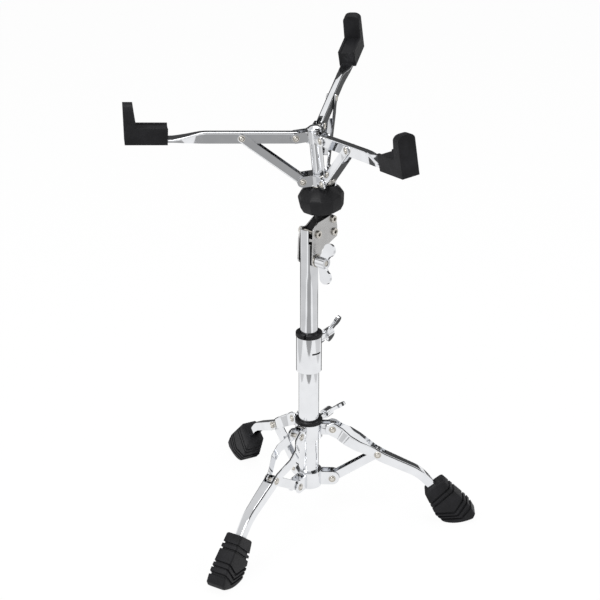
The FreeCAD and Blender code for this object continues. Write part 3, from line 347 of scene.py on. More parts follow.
LEG_TURNS = {"right": -1.8, "rear": 118.2, "front": 238.2}
HINGE_RADIUS, HUB_HINGE = 26.2, 45.66
hub_hinge = shift(HINGE_RADIUS, 0, HUB_HINGE)
rivets("lower_hub_rivets", "base", [stand @ turn_z(a) @ hub_hinge for a in LEG_TURNS.values()], half=5.8)

# Height clamp and its bushing
# A chromed sleeve at the top of the base tube, slit on one side so that the wing bolt can squeeze it.
# The split black bushing in its mouth centres and grips the mast.
eased("clamp_sleeve", "height_clamp", chrome, "base", "chrome_steel", edge=0.4)
black_plastic = finish(
    "black_plastic", (0.007, 0.007, 0.008), (0.012, 0.012, 0.013), smooth=0.34, rough=0.46,
    metal=0, patch=90, grain=900, relief=0.00002, shine=0.18,
)
eased("split_bushing", "height_bushing", black_plastic, "mast_bushing", "black_plastic", edge=0.5)

# Wing bolts
# Die-cast wing heads on threaded shanks, chromed.
# One squeezes the height clamp and the other locks the leg collar.
eased("clamp_wing", "height_wing_bolt", chrome, "height_wing", "chrome_steel", edge=0.9)
eased("collar_wing", "collar_wing_bolt", chrome, "collar_wing", "chrome_steel", edge=0.9)

# Mast
# The sliding steel tube, chromed, with its head pressed flat on two sides for the tilter plates.
# A tab at the back of the head stops the tilter.
tilt = next(j for j in frame["joints"] if j["name"] == "basket_tilt")
mast_low, mast_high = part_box("mast_tube")
MAST_RADIUS, MAST_WALL = (mast_high.x - mast_low.x) / 2, 0.0012
tilt_height = tilt["pos_m"][2]
PRESS_LOW, PRESS_HIGH, PRESS_HALF = tilt_height - 0.047, tilt_height - 0.009, 0.0069
BORE_LIMIT, SLIVER = MAST_RADIUS - 0.9 * MAST_WALL, MAST_WALL / 30


def press_head(shape):
    axis = ((mast_low + mast_high) / 2).to_2d().to_3d()
    across, up = Vector(tilt["axis"]).normalized(), Vector((0, 0, 1))

    def slit(point, facing):
        parts = shape.verts[:] + shape.edges[:] + shape.faces[:]
        bmesh.ops.bisect_plane(shape, geom=parts, plane_co=point, plane_no=facing)

    for inward in (0, MAST_WALL):
        start, stop = MAST_RADIUS - inward, PRESS_HALF - inward
        for out in (across, -across):
            slit(axis + out * start + up * PRESS_LOW, out * (PRESS_HIGH - PRESS_LOW) + up * (start - stop))
            slit(axis + out * stop, out)
    slit(axis + up * PRESS_HIGH, up)
    for vert in shape.verts:
        offset = vert.co - axis
        inward = MAST_WALL if offset.to_2d().length < BORE_LIMIT else 0
        share = min((vert.co.z - PRESS_LOW) / (PRESS_HIGH - PRESS_LOW), 1)
        limit = MAST_RADIUS - inward + share * (PRESS_HALF - MAST_RADIUS)
        reach = offset.dot(across)
        if share > 0 and abs(reach) > limit:
            vert.co -= across * math.copysign(abs(reach) - limit, reach)
    bmesh.ops.remove_doubles(shape, verts=shape.verts, dist=SLIVER)
    bmesh.ops.dissolve_degenerate(shape, edges=shape.edges, dist=TINY)


eased("pressed_mast", "mast_tube", chrome, "mast", "chrome_steel", edge=0, crease=12, reshape=press_head)

# Legs and leg struts
# Pressed steel channels, chromed: each leg is open below, with its web ending before the waisted hinge end.
# Each strut is a smaller channel, open above, riveted between the lower hub and the leg.
LINK, SPREAD = 58.78, 58.2
collar_height = HUB_HINGE + 2 * LINK * math.cos(math.radians(SPREAD))


def along(table, x):
    for (xa, *a), (xb, *b) in zip(table, table[1:]):
        if x <= xb:
            t = max(0, (x - xa) / (xb - xa))
            return [p + (q - p) * t for p, q in zip(a, b)]
    return list(table[-1][1:])


LOBE_STEPS, CORNER_STEPS, MOST, LEAST_SQUARE = 7, 5, 0.9, 0.2


def lobe(radius):
    return [radius * -math.cos(math.pi / 2 * k / LOBE_STEPS) for k in range(LOBE_STEPS)]


def eye_rise(radius, over):
    return math.sqrt(max(radius ** 2 - over ** 2, LEAST_SQUARE))


def channel(stations, section, web, wall, corner, side):
    shape = bmesh.new()
    known = {}

    def vertex(x, y, z):
        spot = (round(x, 4), round(y, 4), round(z, 4))
        if spot not in known:
            known[spot] = shape.verts.new(spot)
        return known[spot]

    def face(corners):
        corners = list(dict.fromkeys(corners))
        if len(corners) > 2 and not shape.faces.get(corners):
            shape.faces.new(corners)

    def half_loop(x, webbed):
        half, top, bottom = section(x)
        tall = abs(top - bottom)
        bend = min(corner, half * MOST, tall * MOST / 2)
        deep = min(max(bend, wall + 0.1), tall * MOST)
        inner = max(deep - wall, 0)
        turns = [math.pi / 2 * k / CORNER_STEPS for k in range(CORNER_STEPS + 1)]
        out = [(-half + bend * (1 - math.cos(a)), top - side * bend * (1 - math.sin(a))) for a in turns]
        edge = -half + wall
        back = [
            (edge + inner * (1 - math.cos(a)), top - side * (deep - inner * math.sin(a)))
            for a in reversed(turns)
        ]
        if webbed:
            middle = [(0, top), (0, top - side * (deep - inner))]
            return [(-half, bottom), *out, *middle, *back, (edge, bottom)]
        share = max(1 - wall / bend, 0)
        rim = top - side * bend * (1 - math.sqrt(1 - share ** 2))
        out = [(y, z) if y < edge else (edge, rim) for y, z in out]
        rims = [(edge, rim)] * (CORNER_STEPS + 2)
        return [(-half, bottom), *out, *rims, (edge, top - side * deep), (edge, bottom)]

    rows = []
    for x in stations:
        kinds = [web[0] <= x <= web[1]]
        if x == web[0]:
            kinds = [False, True]
        if x == web[1] and x < stations[-1]:
            kinds = [True, False]
        rows += [(x, half_loop(x, webbed), webbed) for webbed in kinds]
    for mirror in (1, -1):
        loops = [([vertex(x, y * mirror, z) for y, z in loop], webbed) for x, loop, webbed in rows]
        count = len(loops[0][0])
        for (here, web_here), (there, web_there) in zip(loops, loops[1:]):
            for k in range(count):
                if k != CORNER_STEPS + 2 or not (web_here and web_there):
                    face([here[k], there[k], there[(k + 1) % count], here[(k + 1) % count]])
        face(loops[0][0])
        face(loops[-1][0])
    bmesh.ops.recalc_face_normals(shape, faces=shape.faces)
    return shape


def pressed(name, shape, where, look, body, slot, *nodes):
    piece = fitted(name, settled(shape, where), look, body, slot, *nodes)
    softened(piece, "broken_edges", width=0.25, segments=2, angle=50)
    flat = piece.modifiers.new("flat_faces", "WEIGHTED_NORMAL")
    flat.keep_sharp = True


LEG_EYE, LEG_WEB, LEG_END = 7.5, 66, 148
LEG_WIDTHS = [
    (-LEG_EYE, 7.3), (9, 7.3), (20, 12.5), (33, 12.5), (53, 6.6), (LEG_WEB, 6.6), (110, 5.4), (LEG_END, 4.5)
]
LEG_RISES = [
    (0, LEG_EYE, 0), (20, 6.5, 0), (53, 5.5, 0), (LEG_WEB, 5.5, 0), (110, 5, 5.2), (LEG_END, 4.5, -5.1)
]
BEND_START, BEND_END, BEND_REACH, BEND_STEPS = 70, 140, 8, 3
STRUT_EYE, STRUT_HALF = 5, 3.9
STRUT_WEB = (14, LINK - 16)


def leg_section(x):
    half = along(LEG_WIDTHS, x)[0]
    rise = eye_rise(LEG_EYE, x) if x < 0 else along(LEG_RISES, x)[0]
    near = BEND_REACH if BEND_START < x < BEND_END else 0
    steps = range(-BEND_STEPS, BEND_STEPS + 1)
    drop = sum(along(LEG_RISES, x + near * k / BEND_STEPS)[1] for k in steps) / len(steps)
    return half, drop + rise, drop - rise


def strut_section(x):
    rise = eye_rise(STRUT_EYE, max(-x, x - LINK, 0))
    return STRUT_HALF, -rise, rise


leg_stations = lobe(7.4) + [0, 4, 9, 14, 20, 26, 33, 40, 46, 53, 60, LEG_WEB, 70, 80, 90, 98]
leg_stations += [102, 105, 108, 111, 114, 118, 122, 130, 140, LEG_END]
strut_stations = lobe(4.95) + [0, 7, STRUT_WEB[0], 20, 30, 40, STRUT_WEB[1], LINK - 8, LINK]
strut_stations += [LINK - x for x in reversed(lobe(4.95))]
leg_seat = shift(HINGE_RADIUS, 0, collar_height) @ turn_y(90 - SPREAD)
strut_seat = shift(HINGE_RADIUS, 0, HUB_HINGE) @ turn_y(SPREAD - 90)
for side, angle in LEG_TURNS.items():
    foot_frame = stand @ turn_z(angle)
    leg = channel(leg_stations, leg_section, web=(LEG_WEB, LEG_END), wall=1.6, corner=2.2, side=1)
    pressed(
        "channel_leg_" + side, leg, foot_frame @ leg_seat,
        chrome, "leg_" + side, "chrome_steel", "leg_" + side,
    )
    strut = channel(strut_stations, strut_section, web=STRUT_WEB, wall=1.3, corner=1.6, side=-1)
    pressed(
        "channel_strut_" + side, strut, foot_frame @ strut_seat,
        chrome, "leg_strut_" + side, "chrome_steel", "leg_strut_" + side,
    )
    rivets("strut_rivet_" + side, "leg_" + side, [foot_frame @ leg_seat @ shift(LINK)], half=6.6)

# Rubber feet
# Moulded black rubber boots pushed over the leg ends, with two straight grooves near the top.
# Three chevron grooves run round them above the curved sole.
black_rubber = finish(
    "black_rubber", (0.008, 0.008, 0.009), (0.014, 0.014, 0.016), smooth=0.42, rough=0.6,
    metal=0, patch=70, grain=1300, relief=0.00004, shine=0.15,
)
FOOT_TOP, FOOT_TOP_HALF, FOOT_SOLE_HALF, FOOT_CORNER, GROOVE = 46.7, 9.5, 11.2, 2.2, 1.7
HEEL_LINE = [(0, 129, 30.5), (0.72, 142, 4), (1, 150, -3.4)]
TOE_LINE = [(0, 148.3, FOOT_TOP), (0.72, 178, 19), (0.9, 186.5, 7), (1, 185, 0.5)]
CHEVRON_POINT, CHEVRON_REST, CHEVRON_RISE = 0.7, 0.3, 1.5
SOLE_LOW, SOLE_MIDDLE = -4.85, 0.45
SIDE_STEPS, FOOT_CORNER_STEPS = 14, 4
FOOT_RIM = [(0, 0, 0, 0, 1.2), (0.012, 0.01, 0, 0, 0.5), (0.035, 0.025, 0, 0, 0)]
FOOT_SOLE = [(0.97, 0.92, 0.6, 0.6, 0), (0.99, 0.985, 0.2, 1, 0.5), (1, 1, 0, 1, 1.6)]
FOOT_GROOVES = [(0.36, 0.2, 0), (0.49, 0.31, 0), (0.66, 0.58, 1), (0.78, 0.68, 1), (0.9, 0.78, 1)]
GROOVE_WALLS = [(-0.035, -0.022, 0), (-0.02, -0.012, GROOVE), (0.02, 0.012, GROOVE), (0.035, 0.022, 0)]


def foot_line(heel_share, toe_share, bend, rocker):
    heel = Vector(along(HEEL_LINE, heel_share))
    toe = Vector(along(TOE_LINE, toe_share))
    straight = heel.lerp(toe, CHEVRON_POINT)
    low = Vector((straight.x, heel.y + CHEVRON_RISE))
    knee = straight.lerp(low, bend)
    dip = Vector((heel.lerp(toe, SOLE_MIDDLE).x, SOLE_LOW * 2 - (heel.y + toe.y) / 2))
    line = []
    for k in range(SIDE_STEPS + 1):
        t = k / SIDE_STEPS
        if t < CHEVRON_POINT:
            sharp = heel.lerp(knee, t / CHEVRON_POINT)
        else:
            sharp = knee.lerp(toe, (t - CHEVRON_POINT) / CHEVRON_REST)
        arch = heel * (1 - t) ** 2 + dip * 2 * t * (1 - t) + toe * t ** 2
        line.append(sharp.lerp(arch, rocker))
    return line


def foot_half(point, inset):
    share = min(max(point.y / FOOT_TOP, 0), 1)
    return FOOT_SOLE_HALF + (FOOT_TOP_HALF - FOOT_SOLE_HALF) * share - inset


def foot_loop(shape, heel_share, toe_share, bend, rocker, inset):
    line = foot_line(heel_share, toe_share, bend, rocker)
    flank = [(point.x, foot_half(point, inset), point.y) for point in line]
    first, last = line[1] - line[0], line[-1] - line[-2]
    ends = []
    for point, way in ((line[-1], last.normalized()), (line[0], -first.normalized())):
        half = foot_half(point, inset)
        corner = []
        for k in range(FOOT_CORNER_STEPS + 1):
            a = math.pi / 2 * k / FOOT_CORNER_STEPS
            spot = point + way * (-inset - FOOT_CORNER * (1 - math.sin(a)))
            corner.append((spot.x, half - FOOT_CORNER * (1 - math.cos(a)), spot.y))
        ends.append(corner)
    near = list(reversed(ends[1])) + flank[2:-2] + ends[0]
    ring = near + [(x, -y, z) for x, y, z in reversed(near)]
    return [shape.verts.new(p) for p in ring]


def foot_shape():
    shape = bmesh.new()
    levels = list(FOOT_RIM)
    for heel_share, toe_share, bend in FOOT_GROOVES:
        for heel_step, toe_step, depth in GROOVE_WALLS:
            levels.append((heel_share + heel_step, toe_share + toe_step, bend, 0, depth))
    rings = [foot_loop(shape, *level) for level in levels + FOOT_SOLE]
    count = len(rings[0])
    for high, low in zip(rings, rings[1:]):
        for k in range(count):
            shape.faces.new([high[k], low[k], low[(k + 1) % count], high[(k + 1) % count]])
    for ring in (rings[0], rings[-1]):
        for k in range(count // 2 - 1):
            shape.faces.new([ring[k], ring[k + 1], ring[count - 2 - k], ring[count - 1 - k]])
    bmesh.ops.recalc_face_normals(shape, faces=shape.faces)
    return shape


for side, angle in LEG_TURNS.items():
    boot = settled(foot_shape(), stand @ turn_z(angle), 30)
    fitted("rubber_foot_" + side, boot, black_rubber, "leg_" + side, "black_rubber", "foot_" + side)

# Leg collar and its bushing
# A chromed ring with three pairs of ears that slides on the base tube as the legs fold.
# A black bushing with a flange lines it, so that steel never rubs on chrome.
eased("sliding_collar", "leg_collar", chrome, "collar", "chrome_steel", edge=0.4)
eased("collar_liner", "collar_bushing", black_plastic, "collar", "black_plastic", edge=0.6)
collar_hinge = shift(HINGE_RADIUS, 0, collar_height)
rivets("collar_rivets", "collar", [stand @ turn_z(a) @ collar_hinge for a in LEG_TURNS.values()], half=7.3)

# Tilter plates and block
# Two plates of satin nickel-plated steel clamp the mast head and a moulded black block between them.
# The block carries the basket post.
# The satin nickel's base colour carries painted shade in recesses and between parts.
satin = finish(
    "satin_nickel", (0.56, 0.555, 0.55), (0.61, 0.605, 0.6), smooth=0.24, rough=0.34,
    metal=1, patch=80, grain=700, relief=0.000006, painted_shade=0.3,
)
eased("near_plate", "tilter_plate_near", satin, "tilter", "satin_steel", edge=0.35)
eased("far_plate", "tilter_plate_far", satin, "tilter", "satin_steel", edge=0.35)
eased("moulded_block", "tilter_block", black_plastic, "tilter", "black_plastic", edge=0.8)
lift = next(j for j in frame["joints"] if j["name"] == "slider_lift")
post_up = Vector(lift["axis"]).normalized()
post_side = Vector(tilt["axis"]).normalized()
post_out = post_side.cross(post_up)
if post_out.x < 0:
    post_side, post_out = -post_side, -post_out
post_turn = Matrix((post_out, post_side, post_up)).transposed().to_4x4()
head = Matrix.Translation(Vector(tilt["pos_m"])) @ post_turn
PLATE_FACE = 10.7
SCREW_PLACES = [(5.9, 28.4), (31.1, 20.7), (31.5, 35.4)]
screw_rows = [
    ({}, {"Head Rise": 1, "Socket Depth": -1}, 0),
    ({"Socket Radius": 1}, {"Head Rise": 1, "Socket Depth": -1}, 1),
    ({"Socket Radius": 1}, {"Head Rise": 1, "Socket Depth": -0.1}, 1),
    ({"Socket Radius": 1.1}, {"Head Rise": 1}, 0),
    ({"Head Radius": 0.82}, {"Head Rise": 1}, 0), ({"Head Radius": 0.94}, {"Head Rise": 0.93}, 0),
    ({"Head Radius": 1}, {"Head Rise": 0.78}, 0), ({"Head Radius": 1}, {}, 0), ({"Shank Radius": 1}, {}, 0),
    ({"Shank Radius": 1}, {"Shank Length": -0.97}, 0), ({"Shank Radius": 0.7}, {"Shank Length": -1}, 0),
    ({}, {"Shank Length": -1}, 0),
]
screw_sizes = {
    "Head Radius": 4, "Head Rise": 2.4, "Socket Radius": 2.1, "Socket Depth": 1.5,
    "Shank Radius": 2, "Shank Length": 25.8,
}
screw_tree = turned_tree("socket_screw", screw_sizes, screw_rows)
screw_seats = [head @ shift(x, -PLATE_FACE, z) @ turn_x(90) for x, z in SCREW_PLACES]
screws = grown("socket_screws", screw_tree, screw_seats, nickel, screw_sizes, sides=36)
fitted("socket_screws", screws, nickel, "tilter", "rivet_steel", "tilter_screws")
nut_rows = [
    ({"Bore Radius": 1}, {"Nut Rise": 0.9}, 0), ({"Bore Radius": 1.15}, {"Nut Rise": 1}, 0),
    ({"Nut Radius": 0.86}, {"Nut Rise": 1}, 0), ({"Nut Radius": 1}, {"Nut Rise": 0.86}, 1),
    ({"Nut Radius": 1}, {"Nut Rise": 0.1}, 1), ({"Nut Radius": 0.88}, {}, 0),
    ({"Bore Radius": 1.15}, {}, 0), ({"Bore Radius": 1}, {"Nut Rise": 0.1}, 0),
    ({"Bore Radius": 1}, {"Nut Rise": 0.9}, 0),
]
nut_sizes = {"Nut Radius": 4.1, "Bore Radius": 2.05, "Nut Rise": 3}
nut_tree = turned_tree("hex_nut", nut_sizes, nut_rows)
nut_seats = [head @ shift(x, PLATE_FACE, z) @ turn_x(-90) for x, z in SCREW_PLACES]
nuts = grown("hex_nuts", nut_tree, nut_seats, nickel, nut_sizes, sides=36)
fitted("hex_nuts", nuts, nickel, "tilter", "rivet_steel", "tilter_nuts")
eased("tilt_bolt", "tilter_bolt", nickel, "tilter", "rivet_steel", edge=0.4)
eased("tilt_washer", "tilter_washer", nickel, "tilter", "rivet_steel", edge=0.25)
eased("tilt_wing_nut", "tilter_wing_nut", chrome, "tilter_wing", "chrome_steel", edge=0.9)

# Basket post, cap and hubs
# The post is a chromed steel rod, threaded for the knob, with the top hub pinned under a domed cap.
# The slider hub rides on it and rests on the knob through a thrust washer.
POST_OFFSET = 28
post = head @ shift(POST_OFFSET)
eased("threaded_post", "basket_post", chrome, "tilter", "chrome_steel", edge=0.3)
CAP = [
    (0, 137), (7.4, 137), (7.5, 137.3), (7.5, 138.4), (7.1, 139),
    (6.2, 139.6), (4.6, 140.6), (2.4, 141.2), (0, 141.4),
]
cap_shape = turned(CAP, sides=48, close=False)
fitted("domed_cap", settled(cap_shape, post), chrome, "tilter", "chrome_steel", "top_cap")
eased("arm_hub", "top_hub", chrome, "tilter", "chrome_steel", edge=0.35)
eased("strut_hub", "slider_hub", chrome, "slider", "chrome_steel", edge=0.35)
ARM_TURNS = {"left": 139, "front": 248.7, "rear": 26}
ARM_HINGE_RADIUS, ARM_HINGE_HEIGHT, SLIDER_RADIUS, SLIDER_HEIGHT = 20.4, 131.5, 18, 82.8
arm_hinge = shift(ARM_HINGE_RADIUS, 0, ARM_HINGE_HEIGHT)
slider_hinge = shift(SLIDER_RADIUS, 0, SLIDER_HEIGHT)
SMALL_PIN, SMALL_HEAD = 2, 3.6
top_hinges = [post @ turn_z(a) @ arm_hinge for a in ARM_TURNS.values()]
rivets("top_hub_rivets", "tilter", top_hinges, 5.4, SMALL_PIN, SMALL_HEAD)
slider_hinges = [post @ turn_z(a) @ slider_hinge for a in ARM_TURNS.values()]
rivets("slider_rivets", "slider", slider_hinges, 7.3, SMALL_PIN, SMALL_HEAD)
eased("thrust_ring", "thrust_washer", nickel, "slider", "rivet_steel", edge=0.15)

# Basket knob
# A moulded black knob with twelve soft flats, screwed on the post through a brass insert.
# Turning it pushes the slider hub up, which closes the arms on the drum.
KNOB_BOTTOM = 48.5
knob_sizes = {
    "Foot Radius": 22.8, "Belt Radius": 24.4, "Belt Rise": 13.6, "Lip Radius": 24, "Lip Rise": 15.6,
    "Dome Radius": 19.2, "Dome Rise": 20.6, "Brow Radius": 14.4, "Brow Rise": 24.8,
    "Top Radius": 12, "Full Rise": 26.8, "Bore Radius": 8.2,
}
knob_rows = [
    ({"Bore Radius": 1}, {"Full Rise": 0.97}, 0), ({"Bore Radius": 1.05}, {"Full Rise": 1}, 0),
    ({"Top Radius": 0.94}, {"Full Rise": 1}, 0), ({"Top Radius": 1}, {"Full Rise": 0.99}, 0.1),
    ({"Brow Radius": 1}, {"Brow Rise": 1}, 0.2),
    ({"Brow Radius": 0.52, "Dome Radius": 0.52}, {"Brow Rise": 0.5, "Dome Rise": 0.5}, 0.35),
    ({"Dome Radius": 1}, {"Dome Rise": 1}, 0.5),
    ({"Dome Radius": 0.51, "Lip Radius": 0.52}, {"Dome Rise": 0.5, "Lip Rise": 0.5}, 0.7),
    ({"Lip Radius": 1}, {"Lip Rise": 1}, 1), ({"Belt Radius": 1}, {"Belt Rise": 1}, 1),
    ({"Belt Radius": 0.5, "Foot Radius": 0.5}, {"Belt Rise": 0.5}, 1),
    ({"Foot Radius": 1}, {"Belt Rise": 0.08}, 1), ({"Foot Radius": 0.985}, {"Belt Rise": 0.025}, 0.9),
    ({"Foot Radius": 0.955}, {}, 0.7), ({"Bore Radius": 1.1}, {}, 0),
    ({"Bore Radius": 1}, {"Full Rise": 0.03}, 0), ({"Bore Radius": 1}, {"Full Rise": 0.97}, 0),
]
knob_tree = turned_tree("flatted_knob", knob_sizes, knob_rows)
knob_seat = post @ shift(0, 0, KNOB_BOTTOM)
knob = grown(
    "flatted_knob", knob_tree, [knob_seat], black_plastic, knob_sizes, sides=72, flats=12, crease=22
)
fitted("flatted_knob", knob, black_plastic, "knob", "black_plastic", "basket_knob")
brass = finish(
    "turned_brass", (0.68, 0.5, 0.24), (0.78, 0.6, 0.32), smooth=0.18, rough=0.3,
    metal=1, patch=90, grain=500, relief=0.00001,
)
eased("brass_insert", "knob_insert", brass, "knob", "brass_insert", edge=0.3)

# Basket arms, struts and grips
# Pressed steel channels, chromed: each arm is open below and ends in a flat tongue inside its rubber grip.
# Each strut is forked over its arm and stands on the slider hub.
ARM_RISE, ARM_PIVOT, ARM_EYE, ARM_WEB, ARM_END = 8.85, 55.7, 6, 10, 165
ARM_WIDTHS = [(-ARM_EYE, 3.6), (92, 3.6), (104, 4.6), (116, 6.2), (126, 7), (ARM_END, 7)]
ARM_HEIGHTS = [
    (0, ARM_EYE, -ARM_EYE), (92, ARM_EYE, -ARM_EYE), (98, 5.4, -5.7), (104, 4, -5.3),
    (112, 1.9, -4.7), (120, 0.2, -4), (126, -1, -3.6), (ARM_END, -1, -3.6),
]


def arm_section(x):
    half = along(ARM_WIDTHS, x)[0]
    top, bottom = along(ARM_HEIGHTS, x)
    if x < 0:
        top = eye_rise(ARM_EYE, x)
        bottom = -top
    return half, top, bottom


arm_stations = lobe(5.95) + [0, ARM_WEB, 20, 40, 56, 70, 82, 92, 95, 98, 101]
arm_stations += [104, 108, 112, 116, 120, 123, 126, 140, ARM_END]
pivot_radius = ARM_HINGE_RADIUS + ARM_PIVOT * math.cos(math.radians(ARM_RISE))
pivot_height = ARM_HINGE_HEIGHT + ARM_PIVOT * math.sin(math.radians(ARM_RISE))
brace_length = math.hypot(pivot_radius - SLIDER_RADIUS, pivot_height - SLIDER_HEIGHT)
brace_slope = math.degrees(math.atan2(pivot_height - SLIDER_HEIGHT, pivot_radius - SLIDER_RADIUS))
brace_seat = shift(pivot_radius, 0, pivot_height) @ turn_y(180 - brace_slope)
arm_seat = shift(ARM_HINGE_RADIUS, 0, ARM_HINGE_HEIGHT) @ turn_y(-ARM_RISE)
brace_end = brace_length + 3.81
BRACE_EYE = 4.5
BRACE_WIDTHS = [(9, 5.2), (15, 5.5)]
brace_web = (22, brace_length - 18)


def brace_section(x):
    rise = eye_rise(BRACE_EYE, max(-x, x - brace_end, 0))
    return along(BRACE_WIDTHS, x)[0], rise, -rise


brace_stations = lobe(4.45) + [0, 8, 10, 12, 15, 18, 22, 40]
brace_stations += [brace_length - x for x in (18, 16, 13, 10, 7, 0)] + [brace_end]
brace_stations += [brace_end - x for x in reversed(lobe(4.45))]

GRIP_START, GRIP_END, GRIP_HALF, GRIP_LEAN = 131, 174.3, 9.25, 2.3
GRIP_BOTTOM, GRIP_SEAT, GRIP_TOP = -5.5, 12, 36
GRIP_ROOT, GRIP_TIP, GRIP_SHOULDER, GRIP_LIP, GRIP_CHANNEL = 11.5, 10, 7, 2.4, 1.6
LIP_SLOPE, SHOULDER_STEPS, SHOULDER_DROP = 0.6, 6, 0.8


def grip_shape():
    shape = bmesh.new()
    lines = []
    shares = [k / SHOULDER_STEPS for k in range(SHOULDER_STEPS + 1)]
    outer = [GRIP_HALF - GRIP_SHOULDER * (1 - math.sin(math.pi / 2 * s)) for s in shares]
    widths = sorted({*outer, GRIP_HALF - GRIP_LIP - LIP_SLOPE, GRIP_HALF - GRIP_LIP})
    root = GRIP_END - GRIP_ROOT
    for y in [-w for w in reversed(widths)] + widths:
        over = max(abs(y) - (GRIP_HALF - GRIP_SHOULDER), 0) / GRIP_SHOULDER
        top = GRIP_TOP - GRIP_SHOULDER * SHOULDER_DROP * (1 - math.sqrt(max(1 - over ** 2, 0)))
        seat = GRIP_SEAT - (GRIP_CHANNEL if abs(y) < GRIP_HALF - GRIP_LIP - LIP_SLOPE / 2 else 0)
        lean = GRIP_LEAN * (top - GRIP_BOTTOM) / (GRIP_TOP - GRIP_BOTTOM)
        tip = GRIP_END + lean - GRIP_TIP
        profile = [
            (GRIP_START, GRIP_BOTTOM), (GRIP_END, GRIP_BOTTOM), (GRIP_END + lean, top),
            (tip, top), (root, seat), (GRIP_START, seat),
        ]
        lines.append([shape.verts.new((x, y, z)) for x, z in profile])
    count = len(lines[0])
    for here, there in zip(lines, lines[1:]):
        for k in range(count):
            shape.faces.new([here[k], here[(k + 1) % count], there[(k + 1) % count], there[k]])
    shape.faces.new(lines[0])
    shape.faces.new(lines[-1])
    bmesh.ops.recalc_face_normals(shape, faces=shape.faces)
    return shape


for side, angle in ARM_TURNS.items():
    arm_frame = post @ turn_z(angle)
    arm_place = arm_frame @ arm_seat
    arm = channel(arm_stations, arm_section, web=(ARM_WEB, ARM_END), wall=1.5, corner=1.8, side=1)
    pressed(
        "channel_arm_" + side, arm, arm_place,
        chrome, "arm_" + side, "chrome_steel", "basket_arm_" + side,
    )
    brace = channel(brace_stations, brace_section, web=brace_web, wall=1.3, corner=1.6, side=1)
    pressed(
        "channel_brace_" + side, brace, arm_frame @ brace_seat,
        chrome, "basket_strut_" + side, "chrome_steel", "basket_strut_" + side,
    )
    rivets("arm_rivet_" + side, "arm_" + side, [arm_place @ shift(ARM_PIVOT)], 5.2, SMALL_PIN, SMALL_HEAD)
    moulded = settled(grip_shape(), arm_place)
    grip = fitted(
        "rubber_grip_" + side, moulded,
        black_rubber, "arm_" + side, "black_rubber", "grip_" + side,
    )
    softened(grip, "moulded_edges", width=1.3, segments=3, angle=40)

# Floor, cards, lamps and camera
# A white sweep in soft, even light, with the camera where the photograph was taken from.
# The grey and dark cards show only in reflections, as the dim parts of a studio do in polished metal.
scene = bpy.context.scene
scene.view_settings.view_transform = "Standard"


def sheet_of(name, corners, look):
    mesh = bpy.data.meshes.new(name)
    mesh.from_pydata(corners, [], [list(range(len(corners)))])
    mesh.materials.append(look)
    panel = bpy.data.objects.new(name, mesh)
    scene.collection.objects.link(panel)
    return panel


def seen_directly(tree):
    rays = wire(tree, "ShaderNodeLightPath").outputs
    total = rays["Is Camera Ray"]
    for kind in ("Is Glossy Ray", "Is Transmission Ray"):
        total = wire(tree, "ShaderNodeMath", {0: total, 1: rays[kind]}, operation="ADD").outputs[0]
    return total


floor_look = bpy.data.materials.new("white_sweep")
floor_look.use_nodes = True
tree = floor_look.node_tree
tree.nodes.remove(tree.nodes["Principled BSDF"])
matt = wire(tree, "ShaderNodeBsdfDiffuse", {"Color": (0.95, 0.95, 0.95, 1)})
glow = wire(tree, "ShaderNodeEmission", {"Color": (1, 1, 1, 1), "Strength": 1})
GLOW_SHARE = 0.95
share = wire(tree, "ShaderNodeMath", {0: seen_directly(tree), 1: GLOW_SHARE}, operation="MULTIPLY")
mixed = wire(tree, "ShaderNodeMixShader", {0: share.outputs[0], 1: matt.outputs[0], 2: glow.outputs[0]})
tree.links.new(mixed.outputs[0], tree.nodes["Material Output"].inputs["Surface"])
FLOOR, CARD_RISE = 6, 0.004


def laid(left, right, near, far, height):
    return [(left, near, height), (right, near, height), (right, far, height), (left, far, height)]


sheet_of("floor", laid(-FLOOR, FLOOR, -FLOOR, FLOOR, 0), floor_look)


def card(name, level, corners):
    look = bpy.data.materials.new(name)
    look.use_nodes = True
    nodes = look.node_tree
    nodes.nodes.remove(nodes.nodes["Principled BSDF"])
    glow = wire(nodes, "ShaderNodeEmission", {"Color": (level, level, level, 1), "Strength": 1})
    nodes.links.new(glow.outputs[0], nodes.nodes["Material Output"].inputs["Surface"])
    panel = sheet_of(name, corners, look)
    panel.visible_camera = False
    panel.visible_diffuse = False
    panel.visible_shadow = False
    panel.visible_transmission = False


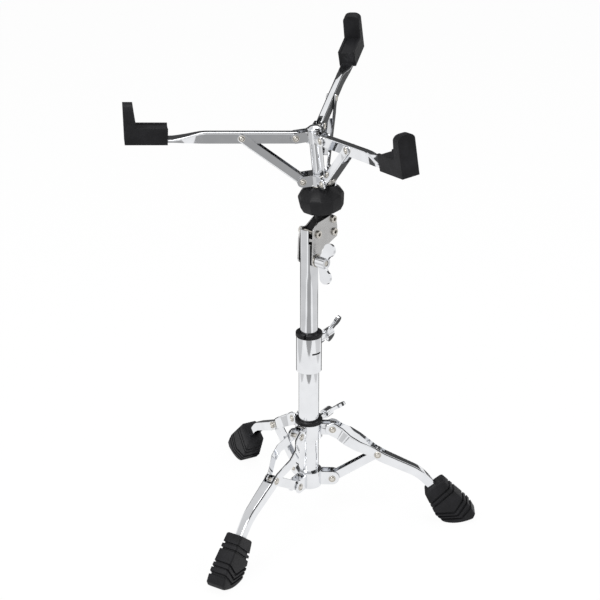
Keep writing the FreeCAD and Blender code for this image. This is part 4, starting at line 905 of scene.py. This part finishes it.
REAR_EDGE = [(-0.02, 0.07), (0.05, 0.07), (2, 2), (-2, 2), (-0.2, 0.26)]
card("front_card", 0.39, laid(-0.24, 0.24, -3, -0.46, CARD_RISE))
card("left_card", 0.7, laid(-3, -0.42, -3, 0.5, CARD_RISE))
card("right_card", 0.74, laid(0.42, 3, -3, 0.5, CARD_RISE))
card("rear_card", 0.1, [(x, y, CARD_RISE) for x, y in REAR_EDGE])
card("back_card", 0.07, [(-2, 1.6, 0.3), (2, 1.6, 0.3), (2, 1.6, 1.9), (-2, 1.6, 1.9)])
card("upper_card", 0.74, laid(-2.4, -0.3, -0.9, 1, 1.6))
card("edge_card", 0.06, [(0, -1.1, 1.6), (1, -1.1, 0.45), (1, 0.1, 0.45), (0, 0.1, 1.6)])

world = bpy.data.worlds.new("studio")
scene.world = world
world.use_nodes = True
tree = world.node_tree
soft_light = tree.nodes["Background"]
soft_light.inputs["Color"].default_value = (1, 1, 1, 1)
soft_light.inputs["Strength"].default_value = 0.55
white = wire(tree, "ShaderNodeBackground", {"Color": (1, 1, 1, 1), "Strength": 1})
layers = {0: seen_directly(tree), 1: soft_light.outputs[0], 2: white.outputs[0]}
mixed = wire(tree, "ShaderNodeMixShader", layers)
tree.links.new(mixed.outputs[0], tree.nodes["World Output"].inputs["Surface"])


def lamp(name, place, aim, size, power):
    light = bpy.data.lights.new(name, "AREA")
    light.size = size
    light.energy = power
    holder = bpy.data.objects.new(name, light)
    holder.location = place
    holder.rotation_euler = (Vector(aim) - Vector(place)).to_track_quat("-Z", "Y").to_euler()
    scene.collection.objects.link(holder)


lamp("key_lamp", (-1.1, -1.3, 1.8), aim=(0, 0, 0.25), size=1.0, power=22)
lamp("fill_lamp", (1.4, -0.9, 1.5), aim=(0, 0, 0.25), size=1.0, power=12)
lamp("top_lamp", (0.1, 0.3, 2.2), aim=(0, 0, 0), size=1.2, power=14)

lens = bpy.data.cameras.new("camera")
lens.lens = 97.6
lens.sensor_width = 36
eye = bpy.data.objects.new("camera", lens)
CAMERA_X, CAMERA_Y, CAMERA_HEIGHT, CAMERA_PITCH = -0.00907, -1.60853, 0.92547, 67.35
eye.location = (CAMERA_X, CAMERA_Y, CAMERA_HEIGHT + stand_rise)
eye.rotation_euler = (math.radians(CAMERA_PITCH), 0, 0)
scene.collection.objects.link(eye)
scene.camera = eye
